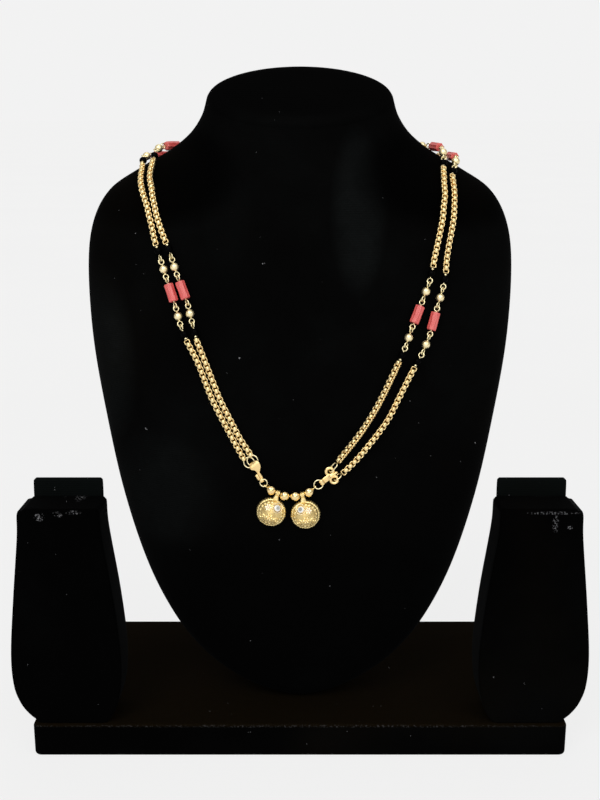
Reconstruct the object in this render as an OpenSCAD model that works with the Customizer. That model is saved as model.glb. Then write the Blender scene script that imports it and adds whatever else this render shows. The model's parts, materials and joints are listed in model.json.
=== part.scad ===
// A two-strand short mangalsutra on the velvet neck bust that displays it.
// Millimetres, +Z up, the front of the bust towards -Y, +X to the viewer's right.
// The origin lies under the middle of the base board, on the surface that it stands on.

/* [Base board] */
// Width of the base board
base_w = 228; // [215:1:245]
// Depth of the base board
base_d = 100; // [96:1:130]
// Thickness of the base board
base_h = 15; // [12:0.5:15]
// Radius of the board's upright corners
base_corner_r = 3; // [1:0.5:6]

/* [Side stands] */
// Thickness of the front block
block_t = 20; // [14:0.5:22]
// Backward lean of block and flap, in degrees
stand_lean = 3; // [0:0.5:5]
// Thickness of the flap behind the block
flap_t = 3; // [2:0.5:4]
// How far the block's foot stands behind the board's front edge
stand_setback = 1.5; // [0:0.5:4]

/* [Chains] */
// Width of the box chain across its flats
chain_d = 2.6; // [2:0.1:2.7]
// Spacing of the rings along a chain's tube
chain_step = 7; // [6:0.5:9]

/* [Bead groups] */
// Length of a coral tube
coral_l = 7.5; // [7:0.1:8.2]
// Diameter of a coral tube
coral_d = 4.1; // [3.6:0.1:4.1]
// Diameter of a gold bead on the strands
gold_bead_d = 3.5; // [3.2:0.1:3.9]
// Diameter of a black bead
black_bead_d = 3.2; // [2.8:0.1:3.4]
// Diameter of the eye pins' straight wire
pin_d = 0.5; // [0.4:0.05:0.5]
// Diameter of the eye pins' loop wire
loop_wire_d = 0.52; // [0.48:0.02:0.54]
// Radius of an eye pin's loop, to the middle of its wire
loop_r = 1.1; // [1.08:0.02:1.16]

/* [Pendant] */
// Diameter of a vati, the little bowl that hangs at the front
vati_d = 12.3; // [11.5:0.1:12.6]
// Depth of a vati from its rim to its crown
vati_h = 4.6; // [4:0.1:5]
// Wall of a vati
vati_wall = 0.8; // [0.6:0.1:1]
// Diameter of a polished bead on the pendant wire
pendant_bead_d = 4.2; // [4:0.1:4.4]
// Diameter of the pendant wire
pendant_wire_d = 0.6; // [0.5:0.05:0.6]
// Diameter of the white stone in each vati
stone_d = 2.8; // [2.4:0.1:3]

/* [Hidden] */

// Smallest gap kept between two pieces
gap = 0.3;
$fn = 48;

// The bust, as level rings from its foot to its neck: height of the ring's side edges, half width,
// place of the side edges front to back, depth in front of them and behind them, forward lean in degrees
HEIGHT = 0;
HALF_WIDTH = 1;
EDGE_Y = 2;
FRONT = 3;
BACK = 4;
LEAN = 5;
BUST_RINGS = [
    [15.4, 6, -18, 6, 6, 0],
    [17, 16, -16, 11, 13, 0],
    [22, 29, -14, 16, 17, 0],
    [32, 43, -12, 21, 20, 0],
    [48, 56, -10, 26, 23, 0],
    [72, 68, -7, 31, 25, 0],
    [104, 78, -3, 35, 27, 0],
    [138, 85, 1, 36, 28, 0],
    [172, 90, 4, 35, 28, 2],
    [203, 91.5, 8, 33, 27, 5],
    [222, 89, 10, 31, 26, 9],
    [235, 82, 12, 29, 26, 13],
    [243, 70, 13, 28, 26, 17],
    [250, 57, 14, 26, 26, 21],
    [257, 48, 17, 25, 26, 25],
    [265, 42.5, 19, 25, 26, 28],
    [273, 40, 20, 25, 26, 30]
];
RINGS_PER_ROW = 2;
BUST_SIDES = 60;
// The rounded lip that closes the neck: how far it rises above the last ring, and that ring's share left
LIP = [[1.6, 0.97], [2.4, 0.9], [2.6, 0.78]];

// A side stand's outline, the left one, from its foot to its top: height, outer edge, inner edge,
// both edges as distances from the middle of the base board
STAND_ROWS = [
    [12, 108, 84],
    [15.5, 111.5, 82],
    [19, 115.5, 79.5],
    [24, 119, 77.5],
    [32, 121.5, 76],
    [46, 122, 75.6],
    [69, 120, 77.8],
    [97, 117, 81.8],
    [107.8, 116.4, 82.4],
    [110, 114.2, 83]
];
FLAP_ROWS = [
    [12, 109, 85],
    [45, 111, 84.8],
    [78, 112.6, 84.6],
    [103, 113.7, 84.4],
    [114, 113.8, 84.4],
    [116.2, 113.4, 84.8]
];

// The four strand halves, each from its front end to the middle of the nape. A route's row gives
// how many rings up the bust the point lies, the angle round from the front, and the lift off the velvet.
RING_NO = 0;
AROUND = 1;
LIFT = 2;
LEFT_OUTER_ROUTE = [
    [6.75, -16.1, 1.8], [6.97, -18.7, 1.8], [7.21, -21.4, 1.8], [7.45, -23.9, 1.8], [7.69, -25.8, 1.8],
    [7.95, -27.8, 2], [8.29, -31.5, 2.5], [8.49, -32.5, 2.5], [8.81, -34.9, 2.5], [9.15, -36.9, 2.5],
    [9.58, -39.5, 2.5], [9.86, -41.2, 1.9], [10.38, -44.6, 1.8], [11.04, -51, 1.8], [11.7, -63, 1.9],
    [12.23, -79, 2.3], [12.3, -97, 3.3], [12.1, -112, 3], [12, -128, 2.5], [12.1, -150, 2],
    [12.2, -180, 1.8]
];
LEFT_INNER_ROUTE = [
    [6.8, -14, 1.8], [6.99, -16.7, 1.8], [7.21, -19.1, 1.8], [7.45, -21.6, 1.8], [7.69, -23.5, 1.8],
    [7.93, -25.3, 2], [8.3, -28.1, 2.5], [8.53, -28.8, 2.5], [8.83, -31.1, 2.5], [9.18, -33.4, 2.5],
    [9.61, -35.7, 2.5], [9.87, -37.7, 1.9], [10.4, -41.8, 1.8], [11.08, -47.6, 1.8], [11.75, -57, 1.9],
    [12.5, -76, 2.4], [12.75, -97, 3.5], [12.6, -112, 3.2], [12.5, -128, 2.5], [12.6, -150, 2],
    [12.7, -180, 1.8]
];
RIGHT_INNER_ROUTE = [
    [6.7, 10.6, 1.8], [6.97, 15.5, 1.8], [7.21, 19.1, 1.8], [7.45, 22, 1.8], [7.7, 24.5, 1.9],
    [8, 27.2, 2.5], [8.21, 28.9, 2.5], [8.51, 31, 2.5], [8.78, 33.6, 2.5], [9.09, 35.6, 2.5],
    [9.38, 36.6, 2], [9.86, 38.8, 1.8], [10.4, 41.9, 1.8], [11.09, 46.7, 1.8], [11.95, 57, 1.9],
    [12.53, 71, 2.4], [12.8, 92, 3.8], [12.65, 108, 3.3], [12.5, 126, 2.5], [12.6, 150, 2],
    [12.7, 180, 1.8]
];
RIGHT_OUTER_ROUTE = [
    [6.56, 12, 1.8], [6.72, 15.9, 1.8], [6.96, 20.5, 1.8], [7.2, 24.4, 1.8], [7.44, 27, 1.8],
    [7.69, 29.6, 1.9], [7.92, 32.1, 2.5], [8.13, 34.7, 2.5], [8.41, 36.3, 2.5], [8.71, 38.3, 2.5],
    [8.98, 39.9, 2.5], [9.36, 40.8, 1.9], [9.84, 42.8, 1.8], [10.37, 46, 1.8], [11.04, 50.8, 1.8],
    [11.7, 59, 1.9], [12.2, 70, 2.4], [12.35, 90, 3.5], [12.15, 107, 3.2], [12, 126, 2.5],
    [12.1, 150, 2], [12.2, 180, 1.8]
];

// The pendant wire, from the left hook's link to the right one's, as a route like the strands'
WIRE_ROUTE = [
    [6.42, -9.9, 2.5], [6.37, -8.3, 2.6], [6.33, -6.1, 2.6], [6.3, -4.1, 2.6],
    [6.3, -1.5, 2.6], [6.32, 0.9, 2.6], [6.355, 2.9, 2.6], [6.41, 4.25, 2.4]
];

// Where the beads and the bails of the two vatis sit on the wire, from its left end
WIRE_BEADS = [2.85, 8.9, 13.3, 19.3];
WIRE_BAILS = [5.87, 16.3];

// Skin of the bust

function spline(a, b, c, d, t) =
    (2 * b + (c - a) * t + (2 * a - 5 * b + 4 * c - d) * t * t + (3 * b - a - 3 * c + d) * t * t * t) / 2;

// The row of a table at a place between its rows, on a smooth curve through them
function between(rows, u) =
    let (
        last = len(rows) - 1,
        i = min(max(floor(u), 0), last - 1)
    )
    spline(rows[max(i - 1, 0)], rows[i], rows[i + 1], rows[min(i + 2, last)], u - i);

function skin(ring_no, around) =
    let (
        ring = between(BUST_RINGS, ring_no),
        depth = cos(around) * (cos(around) > 0 ? ring[FRONT] : ring[BACK])
    )
    [
        ring[HALF_WIDTH] * sin(around),
        ring[EDGE_Y] - depth * cos(ring[LEAN]),
        ring[HEIGHT] - depth * sin(ring[LEAN])
    ];

function unit(v) = v / norm(v);

function outward(ring_no, around) =
    unit(cross(
        skin(ring_no, around + 1) - skin(ring_no, around - 1),
        skin(ring_no + 0.02, around) - skin(ring_no - 0.02, around)
    ));

// Strands: a measured route is a list of [distance from the front end, point, way off the velvet]

ROUTE_STEPS = 12;

function measured(route) =
    let (
        last = ROUTE_STEPS * (len(route) - 1),
        rows = [for (k = [0:last]) between(route, k / ROUTE_STEPS)],
        ways = [for (row = rows) outward(row[RING_NO], row[AROUND])],
        points = [for (k = [0:last]) skin(rows[k][RING_NO], rows[k][AROUND]) + ways[k] * rows[k][LIFT]]
    )
    [
        for (k = 0, run = 0; k <= last; run = run + (k < last ? norm(points[k + 1] - points[k]) : 0), k = k + 1)
            concat(run, points[k], ways[k])
    ];

function column(route, run, axis) = lookup(run, [for (row = route) [row[0], row[axis]]]);
function place(route, run) = [for (axis = [1:3]) column(route, run, axis)];
function way_off(route, run) = unit([for (axis = [4:6]) column(route, run, axis)]);
function route_length(route) = route[len(route) - 1][0];

LEFT_OUTER = measured(LEFT_OUTER_ROUTE);
LEFT_INNER = measured(LEFT_INNER_ROUTE);
RIGHT_INNER = measured(RIGHT_INNER_ROUTE);
RIGHT_OUTER = measured(RIGHT_OUTER_ROUTE);
WIRE = measured(WIRE_ROUTE);

// Where the middle of each coral lies along its strand, counted from the strand's front end
LEFT_OUTER_CORALS = [74, 158];
LEFT_INNER_CORALS = [72.8, 157.2];
RIGHT_INNER_CORALS = [69.2, 156.6];
RIGHT_OUTER_CORALS = [73.9, 159];

// A bead group, counted from the middle of its coral: two eye pins meet at each joint,
// with loop_slack between their loops when pulled straight
bead_clear = 0.15;
loop_slack = 0.28;
loop_out = loop_r + loop_wire_d / 2;
loop_back = loop_r - (loop_wire_d + loop_slack) / 2;
// Room at each end of a coral, so that its ends stay clear where the strand bends over the shoulder
coral_clear = bead_clear + 0.15;
coral_joint = coral_l / 2 + coral_clear + loop_out + loop_back;
gold_joint = coral_joint + gold_bead_d + 2 * (bead_clear + loop_out + loop_back);
black_bead_off = loop_back + loop_out + bead_clear + black_bead_d / 2;
pin_head_off = black_bead_off + black_bead_d / 2 + 0.1;
pin_head_t = 0.4;
group_end = gold_joint + pin_head_off + pin_head_t + gap;
bead_hole_d = pin_d + 0.3;

// Frame whose Z runs from one point to another and whose X leans to the given way off the velvet
module run_frame(from, to, way) {
    aim = unit(to - from);
    tilt = acos(aim.z);
    swing = atan2(aim.y, aim.x);
    x_axis = [cos(tilt) * cos(swing), cos(tilt) * sin(swing), -sin(tilt)];
    y_axis = [-sin(swing), cos(swing), 0];
    translate(from)
        rotate([0, tilt, swing])
            rotate([0, 0, atan2(way * y_axis, way * x_axis)])
                children();
}

// Frame on the velvet: X to the right, Y up the bust, Z straight off it, then turned in the velvet's plane
module velvet_frame(ring_no, around, turn) {
    way = outward(ring_no, around);
    translate(skin(ring_no, around))
        rotate([0, acos(way.z), atan2(way.y, way.x)])
            rotate([0, 0, 90 + turn])
                children();
}

// Round tube of few sides through a list of [point, way off the velvet]
module swept_tube(stations, tube_d, sides) {
    last = len(stations) - 1;
    rings = [
        for (k = [0:last])
            let (
                aim = unit(stations[min(k + 1, last)][0] - stations[max(k - 1, 0)][0]),
                across = unit(cross(aim, stations[k][1])),
                off = cross(across, aim)
            )
            for (j = [0:sides - 1])
                stations[k][0] + tube_d / 2 * (cos(360 * j / sides) * off + sin(360 * j / sides) * across)
    ];
    walls = [
        for (k = [0:last - 1], j = [0:sides - 1])
            let (next = (j + 1) % sides)
            [k * sides + j, (k + 1) * sides + j, (k + 1) * sides + next, k * sides + next]
    ];
    first_end = [for (j = [0:sides - 1]) j];
    far_end = [for (j = [0:sides - 1]) (last + 1) * sides - 1 - j];
    polyhedron(points = rings, faces = concat([first_end, far_end], walls), convexity = 6);
}

// Display

module base_board() {
    color([0.06, 0.06, 0.07])
        linear_extrude(base_h)
            union() {
                square([base_w - 2 * base_corner_r, base_d], center = true);
                square([base_w, base_d - 2 * base_corner_r], center = true);
                for (x = [-1, 1], y = [-1, 1])
                    translate([x * (base_w / 2 - base_corner_r), y * (base_d / 2 - base_corner_r)])
                        circle(r = base_corner_r);
            }
}

module bust() {
    last_row = len(BUST_RINGS) - 1;
    lean = BUST_RINGS[last_row][LEAN];
    neck_middle = [0, BUST_RINGS[last_row][EDGE_Y], BUST_RINGS[last_row][HEIGHT]];
    neck_up = [0, -sin(lean), cos(lean)];
    heights = [for (k = [0:RINGS_PER_ROW * last_row]) k / RINGS_PER_ROW];
    body_points = [for (u = heights, j = [0:BUST_SIDES - 1]) skin(u, 360 * j / BUST_SIDES)];
    lip_points = [
        for (lip = LIP, j = [0:BUST_SIDES - 1])
            neck_middle + neck_up * lip[0] + (skin(last_row, 360 * j / BUST_SIDES) - neck_middle) * lip[1]
    ];
    ring_count = len(heights) + len(LIP);
    walls = [
        for (k = [0:ring_count - 2], j = [0:BUST_SIDES - 1])
            let (
                next = (j + 1) % BUST_SIDES,
                low = k * BUST_SIDES,
                high = low + BUST_SIDES
            )
            each [[low + j, high + next, low + next], [low + j, high + j, high + next]]
    ];
    foot = [for (j = [0:BUST_SIDES - 1]) j];
    crown = [for (j = [0:BUST_SIDES - 1]) ring_count * BUST_SIDES - 1 - j];
    color([0.09, 0.1, 0.11])
        polyhedron(points = concat(body_points, lip_points), faces = concat([foot, crown], walls), convexity = 4);
}

STAND_STEPS = 3;

// Upright board of the given outline rows, its front face at the given place, cut off level above the base
module leaning_board(rows, front_y, thickness) {
    last = STAND_STEPS * (len(rows) - 1);
    smooth = [for (k = [0:last]) between(rows, k / STAND_STEPS)];
    outline = concat(
        [for (k = [0:last]) [-smooth[k][1], smooth[k][0] - base_h]],
        [for (k = [0:last]) [-smooth[last - k][2], smooth[last - k][0] - base_h]]
    );
    difference() {
        translate([0, front_y, base_h])
            rotate([90 - stand_lean, 0, 0])
                translate([0, 0, -thickness])
                    linear_extrude(thickness)
                        polygon(outline);
        translate([-base_w, front_y - base_d, base_h + gap - base_d])
            cube([2 * base_w, 2 * base_d, base_d]);
    }
}

stand_front_y = stand_setback - base_d / 2;
flap_front_y = stand_front_y + (block_t + gap) / cos(stand_lean);

module stand_block() {
    color([0.07, 0.07, 0.08]) leaning_board(STAND_ROWS, stand_front_y, block_t);
}

module stand_flap() {
    color([0.08, 0.09, 0.09]) leaning_board(FLAP_ROWS, flap_front_y, flap_t);
}

// Chains

// The stations of a strand's tube between two distances, about chain_step apart
function chain_stations(route, from, to) =
    let (count = max(2, round((to - from) / chain_step)))
    [
        for (k = [0:count])
            let (run = from + (to - from) * k / count)
            [place(route, run), way_off(route, run)]
    ];

module chain(stations) {
    color([0.95, 0.75, 0.25]) swept_tube(stations, chain_d, 8);
}

module chain_lower(route, corals) {
    chain(chain_stations(route, 0, corals[0] - group_end));
}

module chain_upper(route, corals) {
    chain(chain_stations(route, corals[0] + group_end, corals[1] - group_end));
}

// Chain round the nape, from behind the left shoulder to behind the right one
module chain_back(left, left_corals, right, right_corals) {
    left_part = chain_stations(left, left_corals[1] + group_end, route_length(left));
    right_part = chain_stations(right, right_corals[1] + group_end, route_length(right));
    last = len(right_part) - 1;
    chain(concat(left_part, [for (k = [1:last]) right_part[last - k]]));
}

// Bead groups

module eye_loop(along, roll) {
    translate([0, 0, along])
        rotate([0, 0, roll])
            rotate([90, 0, 0])
                rotate_extrude()
                    translate([loop_r, 0])
                        circle(d = loop_wire_d, $fn = 24);
}

// Straight wire with a loop at both ends; the loops stand loop_back inside the ends of its span
module double_pin(span, roll) {
    shank = span - 2 * (loop_back + loop_r);
    eye_loop(loop_back, roll);
    eye_loop(span - loop_back, roll);
    translate([0, 0, loop_back + loop_r]) cylinder(h = shank, d = pin_d);
}

// Straight wire with one loop, and a flat head past its bead
module headed_pin(roll) {
    eye_loop(loop_back, roll);
    translate([0, 0, loop_back + loop_r]) cylinder(h = pin_head_off - loop_back - loop_r + 0.1, d = pin_d);
    translate([0, 0, pin_head_off]) cylinder(h = pin_head_t, d = 1.2);
}

module drilled_ball(ball_d, hole_d) {
    difference() {
        sphere(d = ball_d);
        cylinder(h = 2 * ball_d, d = hole_d, center = true);
    }
}

// Frame of a span of the strand between two distances, counted from the first to the second
module span_frame(route, from, to) {
    run_frame(place(route, from), place(route, to), way_off(route, (from + to) / 2)) children();
}

function span_length(route, from, to) = norm(place(route, to) - place(route, from));

module coral(route, middle) {
    span = span_length(route, middle - coral_joint, middle + coral_joint);
    edge = 0.5;
    color([0.86, 0.36, 0.33])
        span_frame(route, middle - coral_joint, middle + coral_joint)
            translate([0, 0, (span - coral_l) / 2])
                rotate_extrude()
                    polygon([
                        [bead_hole_d / 2, 0], [coral_d / 2 - edge, 0], [coral_d / 2, edge],
                        [coral_d / 2, coral_l - edge], [coral_d / 2 - edge, coral_l], [bead_hole_d / 2, coral_l]
                    ]);
}

module gold_beads(route, corals) {
    color([0.95, 0.78, 0.35])
        for (middle = corals, side = [-1, 1]) {
            from = middle + side * coral_joint;
            to = middle + side * gold_joint;
            span_frame(route, from, to)
                translate([0, 0, span_length(route, from, to) / 2])
                    drilled_ball(gold_bead_d, bead_hole_d);
        }
}

module black_beads(route, corals) {
    color([0.03, 0.03, 0.03])
        for (middle = corals, side = [-1, 1])
            span_frame(route, middle + side * gold_joint, middle + side * group_end)
                translate([0, 0, black_bead_off])
                    drilled_ball(black_bead_d, bead_hole_d);
}

// Neighbouring pins hold each other by loops that stand square to each other, both seen from the front
module eye_pins(route, corals) {
    color([0.9, 0.7, 0.25])
        for (middle = corals) {
            span_frame(route, middle - coral_joint, middle + coral_joint)
                double_pin(span_length(route, middle - coral_joint, middle + coral_joint), 45);
            for (side = [-1, 1]) {
                span_frame(route, middle + side * coral_joint, middle + side * gold_joint)
                    double_pin(span_length(route, middle + side * coral_joint, middle + side * gold_joint), side * -45);
                span_frame(route, middle + side * gold_joint, middle + side * group_end)
                    headed_pin(side * 45);
            }
        }
}

// Pendant: two vatis on a wire between two hooks

GOLD = [0.92, 0.72, 0.25];
fitting_wire_d = 0.46;

module wire_ring(ring_r, wire_d) {
    rotate_extrude()
        translate([ring_r, 0])
            circle(d = wire_d, $fn = 24);
}

// Short tube of flat strip, its axis along X
module strip_eye(inner_r, strip_t, width) {
    rotate([0, 90, 0])
        rotate_extrude()
            translate([inner_r, -width / 2])
                square([strip_t, width]);
}

end_loop_r = 0.68;

module pendant_wire() {
    last = route_length(WIRE);
    count = 14;
    runs = [for (k = [0:count]) end_loop_r + (last - 2 * end_loop_r) * k / count];
    color(GOLD) {
        swept_tube([for (run = runs) [place(WIRE, run), way_off(WIRE, run)]], pendant_wire_d, 8);
        for (end = [[0, 1], [last, last - 1]])
            run_frame(place(WIRE, end[0]), place(WIRE, end[1]), way_off(WIRE, end[0]))
                rotate([90, 0, 0])
                    wire_ring(end_loop_r, fitting_wire_d);
    }
}

module pendant_bead(run) {
    from = place(WIRE, run - 1);
    to = place(WIRE, run + 1);
    color(GOLD)
        translate((from + to) / 2)
            run_frame([0, 0, 0], to - from, way_off(WIRE, run))
                drilled_ball(pendant_bead_d, pendant_wire_d + 0.85);
}

// A vati's frame: the origin is on the wire in its bail, Y runs up the bowl, Z straight off the velvet
module vati_frame(run, turn) {
    way = way_off(WIRE, run);
    translate(place(WIRE, run))
        rotate([0, acos(way.z), atan2(way.y, way.x)])
            rotate([0, 0, 90 + turn])
                children();
}

VATI_TURNS = [-18.7, 8.6];
// Where the stone sits on each bowl, right of and above its middle
STONE_SPOTS = [[1.8, 3], [-1.5, 3]];
bail_to_middle = 8.75;
bail_inner_r = 0.75;
bail_t = 0.55;
bail_w = 1.3;
rim_lift = 0.7;
vati_ball_r = (vati_d * vati_d / 4 + vati_h * vati_h) / (2 * vati_h);
vati_drop = vati_ball_r - vati_h;
bezel_t = 0.35;
bezel_h = 0.7;

// Frame of a bowl: its rim in the plane of X and Y, its crown up Z
module bowl_frame(run, turn) {
    vati_frame(run, turn)
        translate([0, -bail_to_middle, rim_lift - WIRE_ROUTE[0][LIFT]])
            children();
}

// Frame on the outside of a bowl at the given spot, Z straight out of the dome
module dome_frame(spot) {
    translate([0, 0, -vati_drop])
        rotate([0, asin(norm(spot) / vati_ball_r), atan2(spot.y, spot.x)])
            translate([0, 0, vati_ball_r])
                children();
}

module bowl() {
    translate([0, 0, -vati_drop])
        rotate_extrude()
            intersection() {
                difference() {
                    circle(r = vati_ball_r);
                    circle(r = vati_ball_r - vati_wall);
                }
                translate([0, vati_drop]) square(2 * vati_ball_r);
            }
}

// Raised work: a flower below the middle, a row of studs inside the rim and the rim's own wire
module relief() {
    flower = [0, -1.6];
    petal_ring = 1.25;
    petal_r = 0.75;
    petal_sink = 0.35;
    stud_spot = 4.7;
    stud_r = 0.5;
    stud_count = 18;
    for (j = [0:5])
        dome_frame(flower + petal_ring * [cos(60 * j), sin(60 * j)])
            translate([0, 0, -petal_sink]) sphere(r = petal_r, $fn = 24);
    dome_frame(flower) sphere(r = 0.5, $fn = 24);
    for (j = [0:stud_count - 1])
        dome_frame(stud_spot * [cos(360 * j / stud_count), sin(360 * j / stud_count)])
            translate([0, 0, -stud_r / 3]) sphere(r = stud_r, $fn = 24);
    translate([0, 0, 0.4]) wire_ring(vati_d / 2 - 0.35, 0.7);
}

module vati(k) {
    spot = STONE_SPOTS[k];
    seat_r = stone_d / 2 + 0.15;
    neck_d = 1.5;
    color(GOLD) {
        vati_frame(WIRE_BAILS[k], VATI_TURNS[k]) strip_eye(bail_inner_r, bail_t, bail_w);
        bowl_frame(WIRE_BAILS[k], VATI_TURNS[k]) {
            difference() {
                union() {
                    bowl();
                    relief();
                    dome_frame(spot)
                        translate([0, 0, -vati_wall / 2])
                            cylinder(h = vati_wall / 2 + bezel_h, r = seat_r + bezel_t);
                }
                dome_frame(spot) cylinder(h = 3 * bezel_h, r = seat_r);
            }
            neck_top = bail_to_middle - bail_inner_r - bail_t / 2;
            translate([0, neck_top, 1.2])
                rotate([90, 0, 0])
                    cylinder(h = neck_top - vati_d / 2 + 0.7, d = neck_d);
        }
    }
}

// Cut stone with eight crown facets and a table
module stone(k) {
    girdle_h = 0.35;
    crown_h = 0.4;
    color([0.96, 0.96, 0.94])
        bowl_frame(WIRE_BAILS[k], VATI_TURNS[k])
            dome_frame(STONE_SPOTS[k])
                translate([0, 0, 0.12]) {
                    cylinder(h = girdle_h, d = stone_d, $fn = 8);
                    translate([0, 0, girdle_h]) cylinder(h = crown_h, d1 = stone_d, d2 = 0.6 * stone_d, $fn = 8);
                }
}

// Left fastening: two jump rings in the eye of a hook, whose far eye holds the link of the wire
LEFT_SEAT = [6.63, -12.5];
LEFT_TURN = 34;
fitting_lift = 2.4;
jump_ring_r = 2.2;

module left_frame() {
    velvet_frame(LEFT_SEAT[0], LEFT_SEAT[1], LEFT_TURN)
        translate([0, 0, fitting_lift])
            children();
}

module jump_ring(x, lift) {
    color(GOLD)
        left_frame()
            translate([x, 3.5, lift])
                wire_ring(jump_ring_r, fitting_wire_d);
}

module hook_left() {
    color(GOLD)
        left_frame() {
            translate([-0.2, 1.6, 0]) strip_eye(0.95, 0.6, 1.2);
            translate([-0.9, -4.6, -0.4]) cube([1.4, 5, 0.8]);
            translate([-2.3, -4.7, -0.5]) cube([1.5, 2.4, 1]);
            translate([-0.65, -5.4, 0]) strip_eye(0.6, 0.5, 1.3);
        }
}

module link_left() {
    color(GOLD)
        left_frame()
            translate([-0.7, -6.82, 0])
                wire_ring(1.5, fitting_wire_d);
}

// Right fastening: a hook with two thick eyes, whose far eye holds the link of the wire
RIGHT_SEAT = [6.49, 7];
RIGHT_TURN = -55;
THICK_EYES = [[-1.6, 3.75], [2.25, 3.3]];
thick_eye_r = 1.5;
thick_eye_wire_d = 1.2;
thick_eye_drop = 0.8;
right_link_r = 1.85;

module right_frame() {
    velvet_frame(RIGHT_SEAT[0], RIGHT_SEAT[1], RIGHT_TURN)
        translate([0, 0, fitting_lift])
            children();
}

module hook_right() {
    color(GOLD)
        right_frame() {
            for (spot = THICK_EYES)
                translate([spot.x, spot.y, -thick_eye_drop])
                    wire_ring(thick_eye_r, thick_eye_wire_d);
            translate([0, -1.3, 0]) strip_eye(0.6, 0.5, 1.8);
            translate([-0.9, -0.4, -0.8]) cube([1.8, 3.2, 0.9]);
            translate([0.35, 2.4, -0.5])
                rotate([-90, 0, 0])
                    cylinder(h = 3.9, d = 0.9);
        }
}

module link_right() {
    color(GOLD)
        right_frame()
            translate([0, -1.2 - right_link_r, 0])
                wire_ring(right_link_r, fitting_wire_d);
}

// Centre of a thick eye's hole, as a point
function thick_eye(spot) =
    let (
        way = outward(RIGHT_SEAT[0], RIGHT_SEAT[1]),
        right = unit(cross([0, 0, 1], way)),
        up = cross(way, right)
    )
    skin(RIGHT_SEAT[0], RIGHT_SEAT[1]) + way * (fitting_lift - thick_eye_drop)
        + spot.x * (cos(RIGHT_TURN) * right + sin(RIGHT_TURN) * up)
        + spot.y * (cos(RIGHT_TURN) * up - sin(RIGHT_TURN) * right);

// Long link from a thick eye to the front end of a strand
module end_link(k, route) {
    from = thick_eye(THICK_EYES[k]);
    to = place(route, 0);
    bend_r = 1.15;
    pitch = norm(to - from) - gap - fitting_wire_d / 2;
    roll = 30;
    color(GOLD)
        run_frame(from, to, way_off(route, 0))
            rotate([0, 0, roll])
                rotate([90, 0, 0]) {
                    for (end = [[bend_r, 180], [pitch - bend_r, 0]])
                        translate([0, end[0], 0])
                            rotate([0, 0, end[1]])
                                rotate_extrude(angle = 180)
                                    translate([bend_r, 0])
                                        circle(d = fitting_wire_d, $fn = 24);
                    for (x = [-bend_r, bend_r])
                        translate([x, bend_r, 0])
                            rotate([-90, 0, 0])
                                cylinder(h = pitch - 2 * bend_r, d = fitting_wire_d, $fn = 24);
                }
}

base_board();
bust();
stand_block();  // stand_left
mirror([1, 0, 0]) stand_block();  // stand_right
stand_flap();  // flap_left
mirror([1, 0, 0]) stand_flap();  // flap_right
chain_lower(LEFT_OUTER, LEFT_OUTER_CORALS);  // chain_lower_left_outer
chain_lower(LEFT_INNER, LEFT_INNER_CORALS);  // chain_lower_left_inner
chain_lower(RIGHT_INNER, RIGHT_INNER_CORALS);  // chain_lower_right_inner
chain_lower(RIGHT_OUTER, RIGHT_OUTER_CORALS);  // chain_lower_right_outer
chain_upper(LEFT_OUTER, LEFT_OUTER_CORALS);  // chain_upper_left_outer
chain_upper(LEFT_INNER, LEFT_INNER_CORALS);  // chain_upper_left_inner
chain_upper(RIGHT_INNER, RIGHT_INNER_CORALS);  // chain_upper_right_inner
chain_upper(RIGHT_OUTER, RIGHT_OUTER_CORALS);  // chain_upper_right_outer
chain_back(LEFT_OUTER, LEFT_OUTER_CORALS, RIGHT_OUTER, RIGHT_OUTER_CORALS);  // chain_back_outer
chain_back(LEFT_INNER, LEFT_INNER_CORALS, RIGHT_INNER, RIGHT_INNER_CORALS);  // chain_back_inner
coral(LEFT_OUTER, LEFT_OUTER_CORALS[0]);  // coral_front_left_outer
coral(LEFT_INNER, LEFT_INNER_CORALS[0]);  // coral_front_left_inner
coral(RIGHT_INNER, RIGHT_INNER_CORALS[0]);  // coral_front_right_inner
coral(RIGHT_OUTER, RIGHT_OUTER_CORALS[0]);  // coral_front_right_outer
coral(LEFT_OUTER, LEFT_OUTER_CORALS[1]);  // coral_back_left_outer
coral(LEFT_INNER, LEFT_INNER_CORALS[1]);  // coral_back_left_inner
coral(RIGHT_INNER, RIGHT_INNER_CORALS[1]);  // coral_back_right_inner
coral(RIGHT_OUTER, RIGHT_OUTER_CORALS[1]);  // coral_back_right_outer
gold_beads(LEFT_OUTER, LEFT_OUTER_CORALS);  // gold_beads_left_outer
gold_beads(LEFT_INNER, LEFT_INNER_CORALS);  // gold_beads_left_inner
gold_beads(RIGHT_INNER, RIGHT_INNER_CORALS);  // gold_beads_right_inner
gold_beads(RIGHT_OUTER, RIGHT_OUTER_CORALS);  // gold_beads_right_outer
black_beads(LEFT_OUTER, LEFT_OUTER_CORALS);  // black_beads_left_outer
black_beads(LEFT_INNER, LEFT_INNER_CORALS);  // black_beads_left_inner
black_beads(RIGHT_INNER, RIGHT_INNER_CORALS);  // black_beads_right_inner
black_beads(RIGHT_OUTER, RIGHT_OUTER_CORALS);  // black_beads_right_outer
eye_pins(LEFT_OUTER, LEFT_OUTER_CORALS);  // eye_pins_left_outer
eye_pins(LEFT_INNER, LEFT_INNER_CORALS);  // eye_pins_left_inner
eye_pins(RIGHT_INNER, RIGHT_INNER_CORALS);  // eye_pins_right_inner
eye_pins(RIGHT_OUTER, RIGHT_OUTER_CORALS);  // eye_pins_right_outer
jump_ring(-1.1, -0.35);  // ring_left_outer
jump_ring(0.7, 0.35);  // ring_left_inner
hook_left();
link_left();
pendant_wire();
pendant_bead(WIRE_BEADS[0]);  // pendant_bead_1
pendant_bead(WIRE_BEADS[1]);  // pendant_bead_2
pendant_bead(WIRE_BEADS[2]);  // pendant_bead_3
pendant_bead(WIRE_BEADS[3]);  // pendant_bead_4
vati(0);  // vati_left
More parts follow.
